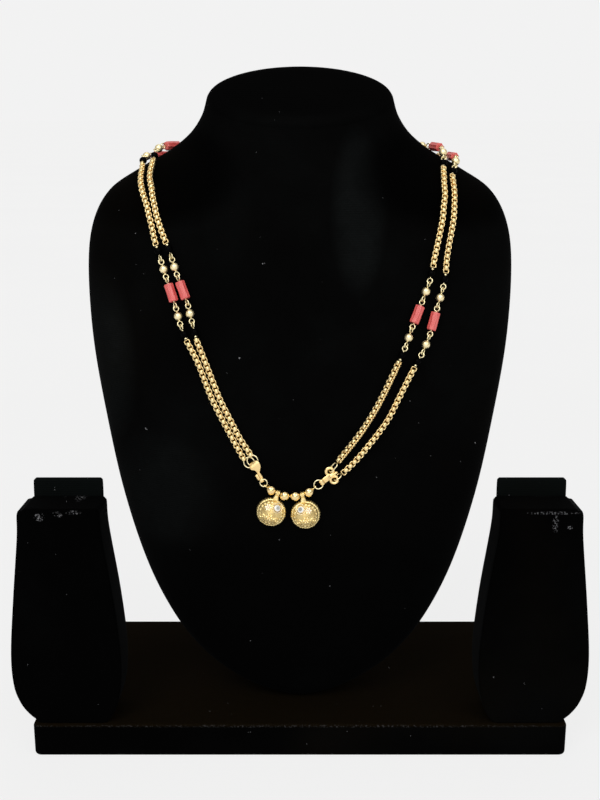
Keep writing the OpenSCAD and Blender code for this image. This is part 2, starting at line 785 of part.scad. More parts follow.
vati(1);  // vati_right
stone(0);  // stone_left
stone(1);  // stone_right
link_right();
hook_right();
end_link(0, RIGHT_INNER);  // end_link_right_inner
end_link(1, RIGHT_OUTER);  // end_link_right_outer
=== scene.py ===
import json
import logging
import math
from dataclasses import dataclass, field, replace
from enum import Enum
from typing import NamedTuple

import bmesh
import bpy
import numpy as np
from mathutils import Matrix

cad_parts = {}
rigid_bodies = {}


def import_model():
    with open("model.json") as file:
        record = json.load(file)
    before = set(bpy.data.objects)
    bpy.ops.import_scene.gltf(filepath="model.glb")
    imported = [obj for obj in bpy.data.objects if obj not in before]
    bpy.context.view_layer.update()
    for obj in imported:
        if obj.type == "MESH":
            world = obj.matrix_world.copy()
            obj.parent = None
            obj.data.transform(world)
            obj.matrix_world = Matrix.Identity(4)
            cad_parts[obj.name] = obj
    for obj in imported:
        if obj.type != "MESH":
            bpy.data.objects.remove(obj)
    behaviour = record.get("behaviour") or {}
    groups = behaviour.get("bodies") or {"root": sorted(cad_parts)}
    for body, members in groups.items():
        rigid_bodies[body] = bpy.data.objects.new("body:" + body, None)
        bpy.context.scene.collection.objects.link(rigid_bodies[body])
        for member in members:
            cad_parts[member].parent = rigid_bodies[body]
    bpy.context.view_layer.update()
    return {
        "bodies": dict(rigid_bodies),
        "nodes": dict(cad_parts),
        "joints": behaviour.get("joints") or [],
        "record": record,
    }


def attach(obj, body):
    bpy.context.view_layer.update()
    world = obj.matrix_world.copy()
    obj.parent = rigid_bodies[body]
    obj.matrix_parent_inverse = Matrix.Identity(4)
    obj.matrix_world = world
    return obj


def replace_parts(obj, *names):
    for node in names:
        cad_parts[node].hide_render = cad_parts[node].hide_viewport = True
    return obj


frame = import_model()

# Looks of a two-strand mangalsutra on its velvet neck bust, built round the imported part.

MM = 0.001
LOG = logging.getLogger("mangalsutra")

Colour = tuple[float, float, float]
Place = tuple[float, float, float]


# Numbers of the bust and the strands, in millimetres, as the part's source has them.
# Bust rings from foot to neck: height, half width, place of the side edges, depth in front, depth behind, lean
BUST_RINGS = np.array([
    [15.4, 6, -18, 6, 6, 0], [17, 16, -16, 11, 13, 0], [22, 29, -14, 16, 17, 0], [32, 43, -12, 21, 20, 0],
    [48, 56, -10, 26, 23, 0], [72, 68, -7, 31, 25, 0], [104, 78, -3, 35, 27, 0], [138, 85, 1, 36, 28, 0],
    [172, 90, 4, 35, 28, 2], [203, 91.5, 8, 33, 27, 5], [222, 89, 10, 31, 26, 9], [235, 82, 12, 29, 26, 13],
    [243, 70, 13, 28, 26, 17], [250, 57, 14, 26, 26, 21], [257, 48, 17, 25, 26, 25], [265, 42.5, 19, 25, 26, 28],
    [273, 40, 20, 25, 26, 30],
])
# Lip of the neck: rise above the last ring and the share of that ring
LIP = [(1.6, 0.97), (2.4, 0.9), (2.6, 0.78)]

# Base board, and the blocks and flaps that lean on it
BASE_DEPTH = 100.0
BASE_HEIGHT = 15.0
STAND_LEAN = 3.0
STAND_FRONT = 1.5 - BASE_DEPTH / 2
BLOCK_DEPTH = 20.0
BLOCK_EDGE = 1.1
FLAP_DEPTH = 3.0
FLAP_EDGE = 0.7
FLAP_GAP = 0.3

# Side stands and flaps from foot to top: height, outer edge, inner edge
STAND_ROWS = np.array([
    [12, 108, 84], [15.5, 111.5, 82], [19, 115.5, 79.5], [24, 119, 77.5], [32, 121.5, 76], [46, 122, 75.6],
    [69, 120, 77.8], [97, 117, 81.8], [107.8, 116.4, 82.4], [110, 114.2, 83],
])
FLAP_ROWS = np.array([
    [12, 109, 85], [45, 111, 84.8], [78, 112.6, 84.6], [103, 113.7, 84.4], [114, 113.8, 84.4],
    [116.2, 113.4, 84.8],
])

# Strand halves from the front to the nape: rings up the bust, degrees round from the front, lift off the velvet
LEFT_OUTER = [
    [6.75, -16.1, 1.8], [6.97, -18.7, 1.8], [7.21, -21.4, 1.8], [7.45, -23.9, 1.8], [7.69, -25.8, 1.8],
    [7.95, -27.8, 2], [8.29, -31.5, 2.5], [8.49, -32.5, 2.5], [8.81, -34.9, 2.5], [9.15, -36.9, 2.5],
    [9.58, -39.5, 2.5], [9.86, -41.2, 1.9], [10.38, -44.6, 1.8], [11.04, -51, 1.8], [11.7, -63, 1.9],
    [12.23, -79, 2.3], [12.3, -97, 3.3], [12.1, -112, 3], [12, -128, 2.5], [12.1, -150, 2],
    [12.2, -180, 1.8],
]
LEFT_INNER = [
    [6.8, -14, 1.8], [6.99, -16.7, 1.8], [7.21, -19.1, 1.8], [7.45, -21.6, 1.8], [7.69, -23.5, 1.8],
    [7.93, -25.3, 2], [8.3, -28.1, 2.5], [8.53, -28.8, 2.5], [8.83, -31.1, 2.5], [9.18, -33.4, 2.5],
    [9.61, -35.7, 2.5], [9.87, -37.7, 1.9], [10.4, -41.8, 1.8], [11.08, -47.6, 1.8], [11.75, -57, 1.9],
    [12.5, -76, 2.4], [12.75, -97, 3.5], [12.6, -112, 3.2], [12.5, -128, 2.5], [12.6, -150, 2],
    [12.7, -180, 1.8],
]
RIGHT_INNER = [
    [6.7, 10.6, 1.8], [6.97, 15.5, 1.8], [7.21, 19.1, 1.8], [7.45, 22, 1.8], [7.7, 24.5, 1.9],
    [8, 27.2, 2.5], [8.21, 28.9, 2.5], [8.51, 31, 2.5], [8.78, 33.6, 2.5], [9.09, 35.6, 2.5],
    [9.38, 36.6, 2], [9.86, 38.8, 1.8], [10.4, 41.9, 1.8], [11.09, 46.7, 1.8], [11.95, 57, 1.9],
    [12.53, 71, 2.4], [12.8, 92, 3.8], [12.65, 108, 3.3], [12.5, 126, 2.5], [12.6, 150, 2],
    [12.7, 180, 1.8],
]
RIGHT_OUTER = [
    [6.56, 12, 1.8], [6.72, 15.9, 1.8], [6.96, 20.5, 1.8], [7.2, 24.4, 1.8], [7.44, 27, 1.8],
    [7.69, 29.6, 1.9], [7.92, 32.1, 2.5], [8.13, 34.7, 2.5], [8.41, 36.3, 2.5], [8.71, 38.3, 2.5],
    [8.98, 39.9, 2.5], [9.36, 40.8, 1.9], [9.84, 42.8, 1.8], [10.37, 46, 1.8], [11.04, 50.8, 1.8],
    [11.7, 59, 1.9], [12.2, 70, 2.4], [12.35, 90, 3.5], [12.15, 107, 3.2], [12, 126, 2.5],
    [12.1, 150, 2], [12.2, 180, 1.8],
]
PENDANT_WIRE = [
    [6.42, -9.9, 2.5], [6.37, -8.3, 2.6], [6.33, -6.1, 2.6], [6.3, -4.1, 2.6],
    [6.3, -1.5, 2.6], [6.32, 0.9, 2.6], [6.355, 2.9, 2.6], [6.41, 4.25, 2.4],
]


# How far the left chains go on over their jump rings: one link
RING_LEAD = 1.45


class Half(Enum):
    """The four halves of the two strands."""

    LEFT_OUTER = ("left_outer", LEFT_OUTER, (74.0, 158.0), 90.0, RING_LEAD)
    LEFT_INNER = ("left_inner", LEFT_INNER, (72.8, 157.2), 90.0, RING_LEAD)
    RIGHT_INNER = ("right_inner", RIGHT_INNER, (69.2, 156.6), 45.0, 0.0)
    RIGHT_OUTER = ("right_outer", RIGHT_OUTER, (73.9, 159.0), 0.0, 0.0)

    def __init__(self, label: str, route: list[list[float]], corals: tuple[float, float], roll: float,
                 lead: float) -> None:
        """Keeps what a half is made by.

        Args:
            label: Its name.
            route: Rows of ring number, angle and lift.
            corals: Runs of the middles of its front and its back coral.
            roll: Degrees by which the first link of its lower chain is rolled.
            lead: How far that chain goes on in front of the route.
        """
        self.label = label
        self.route = route
        self.corals = corals
        self.roll = roll
        self.lead = lead


# Curves and frames


def between(rows: np.ndarray, u: np.ndarray) -> np.ndarray:
    """Rows of a table at places between its rows, on a smooth cubic through four neighbours.

    Args:
        rows: The table, one row for each whole number.
        u: Places in the table.

    Returns:
        One row for each place.
    """
    last = len(rows) - 1
    u = np.asarray(u, float)
    i = np.clip(np.floor(u).astype(int), 0, last - 1)
    t = (u - i)[..., None]
    a, b = rows[np.maximum(i - 1, 0)], rows[i]
    c, d = rows[i + 1], rows[np.minimum(i + 2, last)]
    return (2 * b + (c - a) * t + (2 * a - 5 * b + 4 * c - d) * t**2 + (3 * b - a - 3 * c + d) * t**3) / 2


def unit(v: np.ndarray) -> np.ndarray:
    """Vectors of length one along the last axis."""
    return v / np.maximum(np.linalg.norm(v, axis=-1, keepdims=True), 1e-12)


def skin(ring_no: np.ndarray, around: np.ndarray) -> np.ndarray:
    """Points of the velvet: half width times sine across, and depth times cosine forward, tipped by the lean.

    Args:
        ring_no: Places up the table of rings.
        around: Degrees round from the front.

    Returns:
        Points in millimetres.
    """
    ring = between(BUST_RINGS, ring_no)
    angle = np.radians(around)
    depth = np.cos(angle) * np.where(np.cos(angle) > 0, ring[..., 3], ring[..., 4])
    lean = np.radians(ring[..., 5])
    return np.stack([
        ring[..., 1] * np.sin(angle), ring[..., 2] - depth * np.cos(lean), ring[..., 0] - depth * np.sin(lean),
    ], axis=-1)


def outward(ring_no: np.ndarray, around: np.ndarray) -> np.ndarray:
    """Way straight off the velvet: the cross of a small step round and a small step up.

    Args:
        ring_no: Places up the table of rings.
        around: Degrees round from the front.

    Returns:
        Vectors of length one.
    """
    ring_no, around = np.asarray(ring_no, float), np.asarray(around, float)
    step_round = skin(ring_no, around + 1) - skin(ring_no, around - 1)
    step_up = skin(ring_no + 0.02, around) - skin(ring_no - 0.02, around)
    return unit(np.cross(step_round, step_up))


class Strand:
    """A route over the velvet, measured along its length."""

    STEPS = 12

    def __init__(self, rows: list[list[float]]) -> None:
        """Measures the route in STEPS pieces for each of its rows.

        Args:
            rows: Rows of ring number, angle and lift.
        """
        table = np.array(rows, float)
        fine = between(table, np.arange(self.STEPS * (len(table) - 1) + 1) / self.STEPS)
        self.ways = outward(fine[:, 0], fine[:, 1])
        self.points = skin(fine[:, 0], fine[:, 1]) + self.ways * fine[:, 2:3]
        self.runs = np.concatenate([[0], np.cumsum(np.linalg.norm(np.diff(self.points, axis=0), axis=1))])

    @property
    def length(self) -> float:
        """Whole length in millimetres."""
        return float(self.runs[-1])

    def place(self, run: np.ndarray) -> np.ndarray:
        """Points at distances from the front end."""
        return np.stack([np.interp(run, self.runs, self.points[:, k]) for k in range(3)], axis=-1)

    def way_off(self, run: np.ndarray) -> np.ndarray:
        """Ways straight off the velvet at distances from the front end."""
        return unit(np.stack([np.interp(run, self.runs, self.ways[:, k]) for k in range(3)], axis=-1))


@dataclass(frozen=True)
class Axes:
    """A frame: an origin and three square directions, in millimetres."""

    origin: np.ndarray
    x: np.ndarray
    y: np.ndarray
    z: np.ndarray

    @classmethod
    def along(cls, start: np.ndarray, end: np.ndarray, way: np.ndarray) -> "Axes":
        """Frame whose Z runs from one point to another.

        Args:
            start: Its origin.
            end: The point that Z runs to.
            way: The way that X leans to.

        Returns:
            The frame.
        """
        z = unit(np.asarray(end, float) - start)
        x = unit(way - z * float(way @ z))
        return cls(np.asarray(start, float), x, np.cross(z, x), z)

    @classmethod
    def on_velvet(cls, point: np.ndarray, way: np.ndarray, turn: float) -> "Axes":
        """Frame with Z off the velvet, X to the right and Y up.

        Args:
            point: Its origin.
            way: The way off the velvet there.
            turn: Degrees by which X and Y are turned about Z.

        Returns:
            The frame.
        """
        right = unit(np.cross([0.0, 0.0, 1.0], way))
        up = np.cross(way, right)
        c, s = math.cos(math.radians(turn)), math.sin(math.radians(turn))
        return cls(np.asarray(point, float), c * right + s * up, c * up - s * right, way)

    def out(self, local: np.ndarray) -> np.ndarray:
        """Local points put into the room, in millimetres."""
        return self.origin + local[..., :1] * self.x + local[..., 1:2] * self.y + local[..., 2:3] * self.z

    def moved(self, x: float, y: float, z: float) -> "Axes":
        """The same directions from an origin moved along them."""
        return Axes(self.out(np.array([x, y, z])), self.x, self.y, self.z)


# Meshes


@dataclass
class Patch:
    """Part of a mesh: points, four-sided faces, and a place on the pattern for each corner."""

    points: np.ndarray
    faces: np.ndarray
    uv: np.ndarray

    @classmethod
    def grid(cls, points: np.ndarray, closed: bool = False, flip: bool = False) -> "Patch":
        """Faces over rings of points; the pattern runs from 0 to 1 both ways.

        Args:
            points: Grid of points: the rings along the first axis, and round each ring along the second.
            closed: Whether the last ring joins the first.
            flip: Whether the faces look the other way.

        Returns:
            The patch.
        """
        nu, nv = points.shape[:2]
        spans = nu if closed else nu - 1
        iu, iv = (part.ravel() for part in np.meshgrid(np.arange(spans), np.arange(nv), indexing="ij"))
        corner_u = np.stack([iu, iu + 1, iu + 1, iu], axis=1)
        corner_v = np.stack([iv, iv, iv + 1, iv + 1], axis=1)
        if flip:
            corner_u, corner_v = corner_u[:, ::-1], corner_v[:, ::-1]
        uv = np.stack([corner_u / spans, corner_v / nv], axis=-1)
        return cls(points.reshape(-1, 3), (corner_u % nu) * nv + corner_v % nv, uv)

    @classmethod
    def joined(cls, patches: list["Patch"]) -> "Patch":
        """Several patches as one.

        Args:
            patches: The patches.

        Returns:
            One patch, with their points in the same order.
        """
        starts = np.concatenate([[0], np.cumsum([len(p.points) for p in patches])])[:-1]
        return cls(
            np.concatenate([p.points for p in patches]),
            np.concatenate([p.faces + s for p, s in zip(patches, starts)]),
            np.concatenate([p.uv for p in patches]),
        )


def ring_of(count: int, start: float = 0.0) -> np.ndarray:
    """Angles of a whole turn in equal steps."""
    return start + np.arange(count) * 2 * math.pi / count


def spokes(angle: np.ndarray) -> np.ndarray:
    """Cosine and sine of each angle."""
    return np.stack([np.cos(angle), np.sin(angle)], axis=-1)


def circle(count: int, flat: int) -> np.ndarray:
    """Points of a circle of radius one, with 0 on its flat axis."""
    return np.insert(spokes(ring_of(count)), flat, 0.0, axis=1)


def round_about(radius: np.ndarray, height: np.ndarray, angle: np.ndarray) -> np.ndarray:
    """Points at radius times cosine and sine of the angle, and at the height.

    Args:
        radius: One column, or a number for each angle.
        height: One column.
        angle: Angles.

    Returns:
        Grid of points.
    """
    return np.stack(np.broadcast_arrays(radius * np.cos(angle), radius * np.sin(angle), height), axis=-1)


def turned(radius: np.ndarray, height: np.ndarray, angle: np.ndarray, axes: Axes) -> Patch:
    """Surface of a closed profile of radius and height carried round a frame's Z.

    Args:
        radius: One column, or a number for each angle.
        height: One column, in the order that keeps the outside on the left hand.
        angle: Angles round.
        axes: The frame.

    Returns:
        The patch.
    """
    return Patch.grid(axes.out(round_about(radius, height, angle)), closed=True, flip=True)


def drilled_ball(diameter: float, hole: float, axes: Axes, rings: int = 23, sides: int = 36) -> Patch:
    """A ball round a bore: its radius is the sine and its height the cosine of an angle, its rims rounded off.

    Args:
        diameter: The ball's width in millimetres.
        hole: The bore's width.
        axes: The ball's middle, with Z along the bore.
        rings: Steps from end to end.
        sides: Steps round.

    Returns:
        The patch.
    """
    r, bore = diameter / 2, hole / 2
    start = math.asin(bore / r) + 0.07
    turn = np.linspace(start, math.pi - start, rings)
    ball = np.stack([r * np.sin(turn), -r * np.cos(turn)], axis=1)
    rim = np.array([[bore, ball[-1, 1] - 0.12], [bore + 0.04, ball[-1, 1] + 0.01]])
    profile = np.concatenate([rim * np.array([1.0, -1.0]), ball, rim[::-1]])
    return turned(profile[:, :1], profile[:, 1:], ring_of(sides), axes)


def tube(path: np.ndarray, way: np.ndarray, outline: np.ndarray, closed: bool = False,
         size: np.ndarray | None = None) -> Patch:
    """Outline carried along a path; each station's frame leans to the given way.

    Args:
        path: Stations of the path.
        way: The way that the outline's first axis leans to, one or one for each station.
        outline: Points of the outline, first axis towards the way, second across it.
        closed: Whether the path comes back to its start.
        size: Shares by which both axes of the outline are drawn in or out, a pair for each station.

    Returns:
        The patch, with its ends drawn together where the path is open.
    """
    if closed:
        aim = np.roll(path, -1, axis=0) - np.roll(path, 1, axis=0)
    else:
        aim = np.gradient(path, axis=0)
    aim = unit(aim)
    way = np.broadcast_to(way, path.shape)
    across = unit(np.cross(aim, way))
    off = np.cross(across, aim)
    size = np.ones((len(path), 2)) if size is None else size
    section = outline[None] * size[:, None]
    grid = path[:, None] + section[..., :1] * off[:, None] + section[..., 1:] * across[:, None]
    if not closed:
        grid = np.concatenate([
            np.broadcast_to(path[:1, None], (1,) + grid.shape[1:]), grid,
            np.broadcast_to(path[-1:, None], (1,) + grid.shape[1:]),
        ])
    return Patch.grid(grid, closed=closed)


def round_outline(diameter: float, sides: int) -> np.ndarray:
    """Points of a circle."""
    return diameter / 2 * spokes(ring_of(sides))


def box_outline(half_a: float, half_b: float, sides: int, power: float = 0.4) -> np.ndarray:
    """Points of a box with rounded corners: cosine and sine raised to a share of one.

    Args:
        half_a: Half its size along its first axis.
        half_b: Half its size along its second axis.
        sides: How many points.
        power: The share: the smaller, the sharper the corners.

    Returns:
        Points.
    """
    way = spokes(ring_of(sides, math.pi / sides))
    return np.array([half_a, half_b]) * np.sign(way) * np.abs(way) ** power


def make_piece(name: str, patch: Patch, finish: "Finish", weld: float = 1e-5) -> bpy.types.Object:
    """Puts a patch into the scene as a smooth object at the origin that rides on the part.

    Args:
        name: The piece's name.
        patch: Its surface in millimetres.
        finish: What it is made of.
        weld: Distance in millimetres under which points become one.

    Returns:
        The object.
    """
    mesh = bpy.data.meshes.new(name)
    mesh.vertices.add(len(patch.points))
    mesh.vertices.foreach_set("co", (patch.points * MM).astype(np.float32).ravel())
    mesh.loops.add(patch.faces.size)
    mesh.loops.foreach_set("vertex_index", patch.faces.astype(np.int32).ravel())
    mesh.polygons.add(len(patch.faces))
    mesh.polygons.foreach_set("loop_start", np.arange(0, patch.faces.size, 4, dtype=np.int32))
    mesh.update(calc_edges=True)
    layer = mesh.uv_layers.new(name="pattern")
    layer.data.foreach_set("uv", patch.uv.astype(np.float32).ravel())
    mesh.polygons.foreach_set("use_smooth", np.ones(len(patch.faces), bool))
    mesh.validate()
    close_up(mesh, weld * MM)
    piece = bpy.data.objects.new(name, mesh)
    bpy.context.scene.collection.objects.link(piece)
    piece.data.materials.append(finish.material())
    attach(piece, "root")
    LOG.info("%s: %d faces, %s", name, len(mesh.polygons), finish.slot)
    return piece


def close_up(mesh: bpy.types.Mesh, reach: float) -> None:
    """Welds doubled points and drops faces that have shrunk to nothing.

    Args:
        mesh: The mesh.
        reach: Distance in metres under which points become one.
    """
    bm = bmesh.new()
    bm.from_mesh(mesh)
    bmesh.ops.remove_doubles(bm, verts=bm.verts, dist=reach)
    bmesh.ops.dissolve_degenerate(bm, edges=bm.edges, dist=reach)
    bm.to_mesh(mesh)
    bm.free()


# Shader maths


class Wire:
    """A value in a material, with the operators of plain arithmetic."""

    def __init__(self, graph: "Graph", socket: bpy.types.NodeSocket) -> None:
        """Keeps the socket and the graph that it belongs to."""
        self.graph = graph
        self.socket = socket

    def _maths(self, operation: str, *values: "Wire | float") -> "Wire":
        """A Math node on these values."""
        return self.graph.node("ShaderNodeMath", {"operation": operation}, dict(enumerate(values)))

    def __add__(self, other: "Wire | float") -> "Wire":
        """Sum."""
        return self._maths("ADD", self, other)

    __radd__ = __add__

    def __mul__(self, other: "Wire | float") -> "Wire":
        """Product."""
        return self._maths("MULTIPLY", self, other)

    __rmul__ = __mul__

    def __sub__(self, other: "Wire | float") -> "Wire":
        """Difference."""
        return self._maths("SUBTRACT", self, other)

    def __rsub__(self, other: "Wire | float") -> "Wire":
        """Difference the other way round."""
        return self._maths("SUBTRACT", other, self)

    def most(self, other: "Wire | float") -> "Wire":
        """The greater of two."""
        return self._maths("MAXIMUM", self, other)

    def sine(self) -> "Wire":
        """Sine of an angle in radians."""
        return self._maths("SINE", self)

    def step(self, low: float, high: float) -> "Wire":
        """Smooth rise between two values.

        Args:
            low: Where it is 0.
            high: Where it is 1; low may be the greater.

        Returns:
            A mask.
        """
        return self.graph.node(
            "ShaderNodeMapRange", {"interpolation_type": "SMOOTHSTEP"},
            {"Value": self, "From Min": low, "From Max": high},
        )


class Graph:
    """A material's nodes, with its shader in place."""

    def __init__(self, name: str, constants: dict[str, float | tuple]) -> None:
        """Starts a material.

        Args:
            name: The material's name.
            constants: Numbers and colours that stay the same all over the surface.
        """
        self.material = bpy.data.materials.new(name)
        self.material.use_nodes = True
        self.tree = self.material.node_tree
        self.shader = self.tree.nodes["Principled BSDF"]
        for key, value in constants.items():
            self.shader.inputs[key].default_value = (*value, 1.0) if isinstance(value, tuple) else value

    def node(self, kind: str, settings: dict, values: dict, out: int | str = 0) -> Wire:
        """Any node.

        Args:
            kind: The node's type.
            settings: Its settings, which are set first.
            values: Numbers, colours or wires for its sockets, by name or place.
            out: Which output to give back.

        Returns:
            The output.
        """
        made = self.tree.nodes.new(kind)
        for key, value in settings.items():
            setattr(made, key, value)
        for key, value in values.items():
            if isinstance(value, Wire):
                self.tree.links.new(value.socket, made.inputs[key])
            else:
                made.inputs[key].default_value = value
        return Wire(self, made.outputs[out])

    def spot(self) -> Wire:
        """Place on the object in metres."""
        return self.node("ShaderNodeTexCoord", {}, {}, "Object")

    def reach(self, place: Place) -> Wire:
        """Distance from a place given in metres."""
        return self.node("ShaderNodeVectorMath", {"operation": "DISTANCE"}, {0: self.spot(), 1: place}, "Value")

    def pattern(self) -> Wire:
        """Place on the piece's own pattern."""
        return self.node("ShaderNodeUVMap", {"uv_map": "pattern"}, {})

    def numbers(self, vector: Wire) -> tuple[Wire, Wire, Wire]:
        """The three numbers of a vector."""
        split = self.node("ShaderNodeSeparateXYZ", {}, {0: vector}).socket.node
        return tuple(Wire(self, split.outputs[k]) for k in range(3))

    def noise(self, scale: float, detail: float = 2.0, at: Wire | None = None, rough: float = 0.5) -> Wire:
        """Cloudy noise from 0 to 1.

        Args:
            scale: Waves a metre, or for each unit of the pattern.
            detail: How many finer layers it has.
            at: Where it is read, on the object in metres if nothing is given.
            rough: How strong each finer layer is.

        Returns:
            The noise.
        """
        return self.node(
            "ShaderNodeTexNoise", {},
            {"Vector": at or self.spot(), "Scale": scale, "Detail": detail, "Roughness": rough},
        )

    def blend(self, mask: Wire | float, low: Wire | Colour, high: Wire | Colour) -> Wire:
        """One colour where the mask is 0 and another where it is 1.

        Args:
            mask: How much of the second.
            low: The first colour.
            high: The second colour.

        Returns:
            The colour.
        """
        made = self.tree.nodes.new("ShaderNodeMix")
        made.data_type = "RGBA"
        for name, kind, value in (("Factor", "VALUE", mask), ("A", "RGBA", low), ("B", "RGBA", high)):
            socket = next(s for s in made.inputs if s.name == name and s.type == kind)
            if isinstance(value, Wire):
                self.tree.links.new(value.socket, socket)
            else:
                socket.default_value = (*value, 1.0) if kind == "RGBA" else value
        return Wire(self, next(s for s in made.outputs if s.type == "RGBA"))

    def feed(self, socket: str, wire: Wire) -> None:
        """Links a wire to one of the shader's sockets."""
        self.tree.links.new(wire.socket, self.shader.inputs[socket])

    def bump(self, height: Wire, distance: float, strength: float = 1.0) -> None:
        """Raises the surface.

        Args:
            height: Height from 0 to 1.
            distance: What a height of 1 stands for, in millimetres.
            strength: How much of it is taken.
        """
        values = {"Height": height, "Distance": distance * MM, "Strength": strength}
        self.feed("Normal", self.node("ShaderNodeBump", {}, values))


# Finishes


@dataclass(frozen=True)
class Finish:
    """A finish, made once and then shared."""

    name: str
    slot: str

    def material(self) -> bpy.types.Material:
        """The finish's material, built the first time that it is asked for."""
        found = bpy.data.materials.get(self.name)
        return found or self.build()

    def build(self) -> bpy.types.Material:
        """Builds the material."""
        raise NotImplementedError


class Oval(NamedTuple):
    """An oval on the front of a piece, in millimetres, and how strongly it shows."""

    x: float
    z: float
    half_wide: float
    half_high: float
    strength: float

    def square(self, x: Wire, z: Wire) -> Wire:
        """Square of the distance from its middle, which is 1 on its edge.

        Args:
            x: Distance across in metres.
            z: Height in metres.

        Returns:
            The square.
        """
        across = (x - self.x * MM) * (1 / (self.half_wide * MM))
        up = (z - self.z * MM) * (1 / (self.half_high * MM))
        return across * across + up * up


@dataclass(frozen=True)
class Velvet(Finish):
    """Short black pile: ribs across, cloudy nap, a painted blue-grey sheen in patches, painted shade in others, white
    lint, and dust with a painted highlight along some edges.
    """

    name: str = "black_velvet"
    slot: str = "velvet"
    pile: Colour = (0.0010, 0.0010, 0.0010)
    nap_and_sheen: Colour = (0.0075, 0.0088, 0.0088)
    warm: Colour = (0.0034, 0.0024, 0.0013)
    shade: Colour = (0.0002, 0.0002, 0.0002)
    top_tint: Colour = (0.0042, 0.0027, 0.0010)
    lint: Colour = (0.20, 0.20, 0.21)
    patches: tuple[Oval, ...] = ()
    shades: tuple[Oval, ...] = ()
    dust_and_glint: tuple[Oval, ...] = ()
    top_tint_above: float | None = None
    lint_share: float = 0.012
    rib_pitch: float = 0.9
    rib_drift: float = 0.6
    nap_depth: float = 0.12
    cloud_scale: float = 14.0
    warm_scale: float = 9.0
    drift_scale: float = 60.0
    nap_scale: float = 900.0
    crumb_scale: float = 1500.0

    def build(self) -> bpy.types.Material:
        """Pile colour from cloudy noise, patches of painted sheen and of painted shade, ribs and pile grain as bump,
        lint by random cells.

        Returns:
            The material.
        """
        g = Graph(self.name, {"Roughness": 0.9, "Specular IOR Level": 0.01, "Sheen Weight": 0.004,
                              "Sheen Roughness": 0.4, "Sheen Tint": (0.85, 0.93, 1.0)})
        spot = g.spot()
        x, _, z = g.numbers(spot)
        cloud = g.noise(self.cloud_scale, 4, spot, 0.6).step(0.42, 0.72)
        nap = g.noise(self.nap_scale, 3, spot)
        # Blue-grey pile from random cloudy nap, and painted sheen in the patches.
        sheen = cloud * 0.16
        for oval in self.patches:
            sheen = sheen.most(oval.square(x, z).step(1.0, 0.0) * oval.strength * (cloud * 0.6 + 0.4))
        drift = g.noise(self.drift_scale, 2, spot) * (self.rib_drift * MM)
        ribs = ((z + drift) * (2 * math.pi / (self.rib_pitch * MM))).sine() * 0.5 + 0.5
        pile = g.blend(sheen * (nap * 0.7 + 0.45) * (ribs * 0.35 + 0.75), self.pile, self.nap_and_sheen)
        # Painted shade: darkened patches where the light doesn't reach.
        for oval in self.shades:
            pile = g.blend(oval.square(x, z).step(1.2, 0.4) * oval.strength, pile, self.shade)
        pile = g.blend(g.noise(self.warm_scale, 2, spot).step(0.55, 0.75) * 0.35, pile, self.warm)
        # Browner and lighter pile above a height.
        if self.top_tint_above is not None:
            top_tint = z.step(self.top_tint_above * MM, (self.top_tint_above + 1) * MM) * (nap * 0.8 + 0.5)
            pile = g.blend(top_tint, pile, self.top_tint)
        lint = self.lint_mask(g, spot, 300.0, 0.11)
        lint = lint.most(self.lint_mask(g, spot, 520.0, 0.13) * 0.45)
        crumbs = g.noise(self.crumb_scale, 2, spot).step(0.5, 0.68)
        # Dust, and a painted highlight on the edge fuzz, in the ovals along the edges.
        for oval in self.dust_and_glint:
            lint = lint.most(oval.square(x, z).step(1.0, 0.2) * crumbs * oval.strength)
        g.feed("Base Color", g.blend(lint, pile, self.lint))
        g.bump(ribs * 0.4 + nap * 0.6, self.nap_depth, 0.7)
        return g.material

    def lint_mask(self, g: Graph, spot: Wire, scale: float, size: float) -> Wire:
        """Small spots in a few random cells of the pile, bent by noise so that they aren't round.

        Args:
            g: The material's graph.
            spot: Place on the object.
            scale: Cells a metre.
            size: A spot's radius as a share of a cell.

        Returns:
            A mask.
        """
        wander = g.node("ShaderNodeTexNoise", {}, {"Vector": spot, "Scale": scale * 2.5}, "Color")
        shift = g.node("ShaderNodeVectorMath", {"operation": "SCALE"}, {0: wander, "Scale": 0.9 / scale})
        bent = g.node("ShaderNodeVectorMath", {"operation": "ADD"}, {0: spot, 1: shift})
        cell = g.node("ShaderNodeTexVoronoi", {}, {"Vector": bent, "Scale": scale})
        chance = g.numbers(Wire(g, cell.socket.node.outputs["Color"]))[0]
        return cell.step(size, size * 0.4) * chance.step(self.lint_share, self.lint_share * 0.98)


